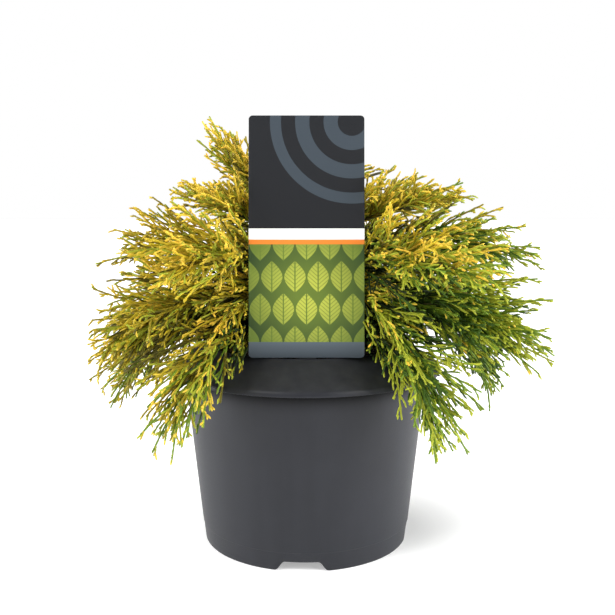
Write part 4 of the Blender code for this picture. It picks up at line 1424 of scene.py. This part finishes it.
def grow_whips(chance):
    """Whips along each stem, one leader that carries the stem on, inner whips on the bare part of
    each bough and short ones round the top of the trunk."""
    count = (STEM_LENGTH / by_mass(CLOSE_SPACING, WHIP_SPACING)).astype(int)
    owner, number = counted_off(count)
    way = 0.05 + 0.93 * (number + chance.uniform(0.2, 0.8, len(number))) / count[owner]
    owner = np.concatenate([owner, np.arange(MASS_COUNT)])
    way = np.concatenate([way, np.ones(MASS_COUNT)])
    number = np.concatenate([number, np.zeros(MASS_COUNT)])
    spread = SPREAD[owner] + chance.uniform(-SPREAD_SCATTER, SPREAD_SCATTER, len(owner))
    spread = np.radians(spread) * (1.25 - 0.5 * way)
    spread[-MASS_COUNT:] = 0.0
    place = STEM_START[owner] + (1 - STEM_START[owner]) * way
    length = STEM_LENGTH[owner] * WHIP_SHARE * (1.0 - 0.35 * way)
    outer = whips_at(owner, place, number, length, spread, chance)
    bare = STEM_LENGTH * STEM_START / (1 - STEM_START)
    count = (bare / INNER_SPACING).astype(int)
    owner, number = counted_off(count)
    way = 0.25 + 0.75 * (number + 0.5) / count[owner]
    spread = np.radians(SPREAD[owner] + chance.uniform(0, INNER_SPREAD, len(owner)))
    length = np.full(len(owner), INNER_LENGTH)
    inner = whips_at(owner, STEM_START[owner] * way, number, length, spread, chance)
    merged = Threads(*(np.concatenate(group) for group in zip(outer, inner, crest_whips(chance))))
    total = len(merged.length)
    scatter = by_mass(TIER_SCATTER, EDGE_SCATTER)[merged.owner]
    margin = EDGE_START + scatter * np.sqrt(chance.uniform(0, 1, total))
    return merged._replace(spray=np.arange(total)), margin


GROWTH = np.random.default_rng(CROWN_SEED + 1)
whips, whip_margin = grow_whips(GROWTH)
rows, lengths = settle(whips, WHIP_CLEAR, whip_margin, SPACE_SLACK, WHIP_TRIES)
whips = picked(whips._replace(length=lengths), rows)
whip_margin = whip_margin[rows]
print("whips:", len(rows), "metres of them:", round(float(whips.length.sum()), 1))

# %% Second and third level: side threads and forks
Rule = namedtuple("Rule", "first spacing angle part limits fall wander")
SIDE_RULE = Rule(0.10, 6.0 * MM, 28.0, 0.62, (6.0 * MM, 22.0 * MM), 0.16, 0.30)
FORK_RULE = Rule(0.25, 6.3 * MM, 34.0, 0.80, (4.0 * MM, 9.5 * MM), 0.10, 0.35)
LAST_PLACE = 0.97
ANGLE_SCATTER = 6.0
CURL_BACK = (-0.05, 0.30)
CURL_ASIDE = 0.12
SIDE_CLEAR = 0.7 * MM
SIDE_TRIES = 4
PAST_PARENT = 3.0 * MM


def grow_side(parents, margin, rule, chance):
    """Threads on both sides of each parent in turn, in the parent's own flat spray. Each one's
    length is a part of what is left of its parent beyond it, between two limits."""
    room = 1 - rule.first
    count = np.maximum((parents.length * room / rule.spacing).astype(int), 1)
    which, number = counted_off(count)
    total = len(which)
    step = (LAST_PLACE - rule.first) * (number + chance.uniform(0.15, 0.85, total)) / count[which]
    share = rule.first + step
    root, along = thread_spots(parents, which, share)
    hand = np.where((number + which) % 2 == 0, 1.0, -1.0)[:, None]
    flat = unit(parents.flat[which] + chance.normal(0.0, rule.wander, (total, 3)))
    across = unit(np.cross(flat, along)) * hand
    open_angle = np.radians(rule.angle + chance.normal(0.0, ANGLE_SCATTER, total))[:, None]
    heading = unit(along * np.cos(open_angle) + across * np.sin(open_angle))
    left = parents.length[which] * (1 - share)
    length = np.clip(left * rule.part, *rule.limits) * chance.uniform(0.7, 1.15, total)
    curl = -across * chance.uniform(*CURL_BACK, (total, 1))
    curl += flat * chance.normal(0.0, CURL_ASIDE, (total, 1))
    made = Threads(root, heading, length, rule.fall * chance.uniform(0.3, 1.4, total), curl, flat,
                   parents.owner[which], parents.spray[which])
    edge = margin[which]
    rows, lengths = settle(made, SIDE_CLEAR, edge - PAST_PARENT, None, SIDE_TRIES)
    return picked(made._replace(length=lengths), rows), edge[rows]


sides, side_margin = grow_side(whips, whip_margin, SIDE_RULE, GROWTH)
forks, _ = grow_side(sides, side_margin, FORK_RULE, GROWTH)
print("side threads:", len(sides.length), "forks:", len(forks.length), "metres in all:",
      round(float(whips.length.sum() + sides.length.sum() + forks.length.sum()), 1))

# %% [markdown]
# ## Threads as meshes
#
# A thread is clad in scale leaves, so it is knobbly rather than round. It is a three-sided tube
# whose rings are each turned a sixth of a turn against the last and swell a little in the middle
# of each pair, which gives that look at the cost of six triangles a ring. The last ring closes on
# a blunt tip.

# %% Tubes for all threads of a level
THREAD_SIDES = 3
SCALE_SWELL = 0.13
TIP_REACH = 1.1


def tube_arrays(threads, rings, base_radius, tip_radius):
    """Vertices and triangles of closed tubes. Ring k of a thread lies at path(k), turned by 60
    degrees times k, with a radius that runs from base to tip and swells on every other ring."""
    share = np.linspace(0.0, 1.0, rings)
    path = thread_points(threads, share)
    along = unit(np.gradient(path, axis=1))
    side = unit(np.cross(along, threads.flat[:, None]))
    other = np.cross(along, side)
    swell = 1 + SCALE_SWELL * np.where(np.arange(rings) % 2, 1.0, -1.0)
    radius = (base_radius + (tip_radius - base_radius) * share) * swell
    turn = (np.arange(THREAD_SIDES)[None] * 2 * np.pi / THREAD_SIDES
            + np.arange(rings)[:, None] * np.pi / THREAD_SIDES)
    ring = (np.cos(turn)[None, ..., None] * side[:, :, None]
            + np.sin(turn)[None, ..., None] * other[:, :, None])
    skin = path[:, :, None] + ring * radius[None, :, None, None]
    tip = path[:, -1] + along[:, -1] * tip_radius * TIP_REACH
    count = len(path)
    points = np.concatenate([skin.reshape(count, -1, 3), tip[:, None]], axis=1)
    k, m = np.meshgrid(np.arange(rings - 1), np.arange(THREAD_SIDES), indexing="ij")
    lower, right = k * THREAD_SIDES + m, k * THREAD_SIDES + (m + 1) % THREAD_SIDES
    above, above_left = lower + THREAD_SIDES, (k + 1) * THREAD_SIDES + (m - 1) % THREAD_SIDES
    up = np.stack([lower, right, above], axis=-1).reshape(-1, 3)
    down = np.stack([lower, above, above_left], axis=-1).reshape(-1, 3)
    last = (rings - 1) * THREAD_SIDES + np.arange(THREAD_SIDES)
    cap = np.stack([last, np.roll(last, -1), np.full(THREAD_SIDES, rings * THREAD_SIDES)], axis=-1)
    base = np.arange(THREAD_SIDES)[::-1][None]
    pattern = np.concatenate([up, down, cap, base])
    step = rings * THREAD_SIDES + 1
    faces = pattern[None] + (np.arange(count) * step)[:, None, None]
    return points.reshape(-1, 3), faces.reshape(-1, 3)


print("triangles of a fork:", len(tube_arrays(picked(forks, np.arange(1)), 3, 0.6 * MM, 0.5 * MM)[1]))

# %% [markdown]
# ## Colour by spray
#
# The colour of a thread has a place: gold where a spray stands in the sun at the crown's edge,
# green in its shade, as on the real plant. Part of it is painted light and shade, though. The
# nearly black deep inside is painted shade. Threads are lighter at the left and the front, where
# the lamps shine from, and so are threads on the cheek boughs in the label's shadow: painted light.
# The lift towards the top is partly the plant's own gold and partly painted light from above. A
# noise texture could colour the threads, but it would cut across them. Instead every thread gets
# a light score from how near its tip comes to the crown's edge, how high it is, which side it is
# on, how far to the front it is, and a chance that it shares with its whole spray. The score and
# the side pick one of ten plain colours, and each colour of each tier of boughs is a piece of its
# own.

# %% Light score
# The nearly black shade colour is painted shade for threads deep inside the crown.
TINTS = (
    ("shade", (0.012, 0.024, 0.004)),
    ("forest", (0.042, 0.088, 0.008)),
    ("green", (0.135, 0.215, 0.016)),
    ("olive", (0.285, 0.315, 0.022)),
    ("brass", (0.490, 0.372, 0.018)),
    ("gold", (0.670, 0.480, 0.048)),
    ("amber", (0.740, 0.465, 0.040)),
    ("umber", (0.085, 0.075, 0.006)),
    ("bronze", (0.250, 0.198, 0.012)),
    ("lime", (0.365, 0.405, 0.030)),
)
TINT_STEPS = np.array((0.18, 0.34, 0.50, 0.66, 0.86, 1.16))
SPRAY_CHANCE = 0.17
THREAD_CHANCE = 0.13
UPPER_SIDE = 25.0 * MM
RIM_LIGHT = 0.36
PAINTED_CHEEK_LIGHT = 0.34
DEPTH_WEIGHT = 0.92
HEIGHT_WEIGHT = 0.11
PAINTED_LEFT_LIGHT = 0.06
PAINTED_FRONT_LIGHT = 0.22
ABOVE_WEIGHT = 0.10
LUCK_REACH = 1.9
SCORE_START = -0.27
HEIGHT_IN_SUN = 1.1
FOREST, GREEN, BRASS, GOLD, UMBER, BRONZE, LIME = 1, 2, 4, 5, 7, 8, 9
SUNNY = 0.10
SHADY = -0.30
SUN_CHANCE = 0.25
LEAF_ROUGHNESS = (0.42, 0.62)
LEAF_GLOSS = 0.2


def thread_tints(threads, level_bonus, chance):
    """Number of each thread's colour. Its light score, from about 0 deep inside to about 1 at the
    rim, is laid against the steps. The score is partly the plant's own gold in the sun and partly
    painted light and shade: painted shade deep inside, and painted light towards the left, the
    front and on the cheek boughs. On the sunny side, at the left and above, umber and bronze take
    the place of the dark greens. Elsewhere lime takes that of brass, and low at the right of gold."""
    tip = thread_points(threads, np.array([1.0]))[:, 0]
    x, y, z = tip.T
    out = np.hypot(x - crown_centre(z), y) / CROWN_REACH
    depth = crown_level(z, threads.owner) ** 2 + out**2
    height = (z - CROWN_MIDDLE) / CROWN_DOWN
    leftward, frontward = -(x - CROWN_CENTRE_X) / CROWN_REACH, -y / CROWN_REACH
    above = np.clip((z - SPRAY_ROOT[threads.spray]) / UPPER_SIDE, -1.0, 1.0)
    spray = SPRAY_LUCK[threads.spray] * (LUCK_REACH - np.sqrt(depth)) + ABOVE_WEIGHT * above
    own = chance.normal(0.0, THREAD_CHANCE, len(x))
    # Painted shade and light: the depth term darkens the inside, and the left and front terms lighten
    # the side of the lamps.
    place = (DEPTH_WEIGHT * np.sqrt(depth) + HEIGHT_WEIGHT * height + PAINTED_LEFT_LIGHT * leftward
             + PAINTED_FRONT_LIGHT * frontward)
    # Painted light: the cheek boughs sit in the label's shadow, and their threads are made lighter
    # anyway.
    cheek = PAINTED_CHEEK_LIGHT * ON_CHEEK[threads.owner]
    score = np.maximum(place + SCORE_START + level_bonus + spray + cheek + own, RIM_LIGHT * depth)
    tint = np.searchsorted(TINT_STEPS, score)
    sun = leftward + HEIGHT_IN_SUN * height + chance.normal(0.0, SUN_CHANCE, len(x))
    for where, old, new in ((sun > SUNNY, FOREST, UMBER), (sun > SUNNY, GREEN, BRONZE),
                            (sun < SUNNY, BRASS, LIME), (sun < SHADY, GOLD, LIME)):
        tint[where & (tint == old)] = new
    return tint


ON_CHEEK = by_mass({"cheek": 1.0}, 0.0)
SPRAY_LUCK = GROWTH.normal(0.0, SPRAY_CHANCE, int(whips.spray.max()) + 1)
SPRAY_ROOT = np.zeros(len(SPRAY_LUCK))
SPRAY_ROOT[whips.spray] = whips.root[:, 2]
Level = namedtuple("Level", "threads rings base_radius tip_radius light")
LEVELS = (
    Level(whips, 20, 0.88 * MM, 0.64 * MM, -0.36),
    Level(sides, 7, 0.70 * MM, 0.64 * MM, -0.06),
    Level(forks, 3, 0.64 * MM, 0.68 * MM, 0.15),
)
TINT_OF = [thread_tints(level.threads, level.light, GROWTH) for level in LEVELS]
print("threads of each colour:", np.bincount(np.concatenate(TINT_OF)).tolist())

# %% Foliage pieces


def thread_finish(name, colour):
    """Plain base colour with the slight gloss of a waxy leaf and a fine broken surface."""
    finish = Finish(name, colour, 0.5)
    grain = finish.group(GRAIN, Scale=900.0, Fine_share=0.5)
    finish.roughness(finish.span(grain, *LEAF_ROUGHNESS))
    finish.bump(grain, 0.15 * MM, 0.5)
    finish.shader.inputs["Specular IOR Level"].default_value = LEAF_GLOSS
    return finish.material


def threads_mesh(tint, on_tier):
    """Points and triangles of all threads of one colour whose masses are on one tier."""
    points, faces, start = [np.empty((0, 3))], [np.empty((0, 3), int)], 0
    for (threads, rings, base, tip, _), tints in zip(LEVELS, TINT_OF):
        mine = np.flatnonzero((tints == tint) & on_tier[threads.owner])
        if len(mine):
            more, corners = tube_arrays(picked(threads, mine), rings, base, tip)
            points.append(more)
            faces.append(corners + start)
            start += len(more)
    return np.concatenate(points), np.concatenate(faces)


def make_foliage():
    """One piece for each colour of each tier of boughs. It stands for all masses of its tier."""
    tier_of = np.array([TIERS.index(tier) for tier, _ in BOUGHS])
    triangles = 0
    for tint, (tint_name, colour) in enumerate(TINTS):
        material = thread_finish(f"{tint_name} threads", colour)
        for tier_number, tier in enumerate(TIERS):
            points, corners = threads_mesh(tint, tier_of == tier_number)
            if len(corners):
                piece = mesh_object(f"{tier.name}_{tint_name}_threads", points, corners.ravel(),
                                    np.full(len(corners), 3), material)
                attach(piece, "root")
                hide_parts(*[f"foliage_{name}" for name, owner in zip(MASS_NAMES, tier_of)
                                     if owner == tier_number])
                triangles += len(corners)
    return triangles


print("triangles of foliage:", make_foliage())

# %% [markdown]
# ## Stems
#
# Each mass of foliage still needs the thin woody stem that its whips grow from. It carries the
# bough's curve on, almost to the tip.

# %% Stems of the masses
STEM_END = 0.86
STEM_RINGS = 24
STEM_SIDES = 8
STEM_ROOT_RADIUS = 1.75 * MM
STEM_TIP_RADIUS = 0.8 * MM
STEM_SEED = 6


def make_stems():
    """Thin rings carried along each stem, which end a little short of its tip."""
    share = STEM_START[:, None] + (STEM_END - STEM_START[:, None]) * np.linspace(0.0, 1.0, STEM_RINGS)
    path = paths_on(np.arange(MASS_COUNT), share)
    taper = np.linspace(STEM_ROOT_RADIUS, STEM_TIP_RADIUS, STEM_RINGS)
    points = limb_points(path, np.broadcast_to(taper, path.shape[:2]), STEM_SIDES, 3, 0.05,
                         np.random.default_rng(STEM_SEED))
    stems = limbs_object("stems_bark", points, GREEN_BARK)
    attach(stems, "root")
    return stems


print("stem faces:", len(make_stems().data.polygons))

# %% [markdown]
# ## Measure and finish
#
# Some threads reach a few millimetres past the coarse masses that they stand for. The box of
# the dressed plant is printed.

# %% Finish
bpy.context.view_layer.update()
DRESSED = np.array([list(corner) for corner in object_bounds()])
print("dressed box in mm:", np.round(DRESSED / MM, 1).tolist())
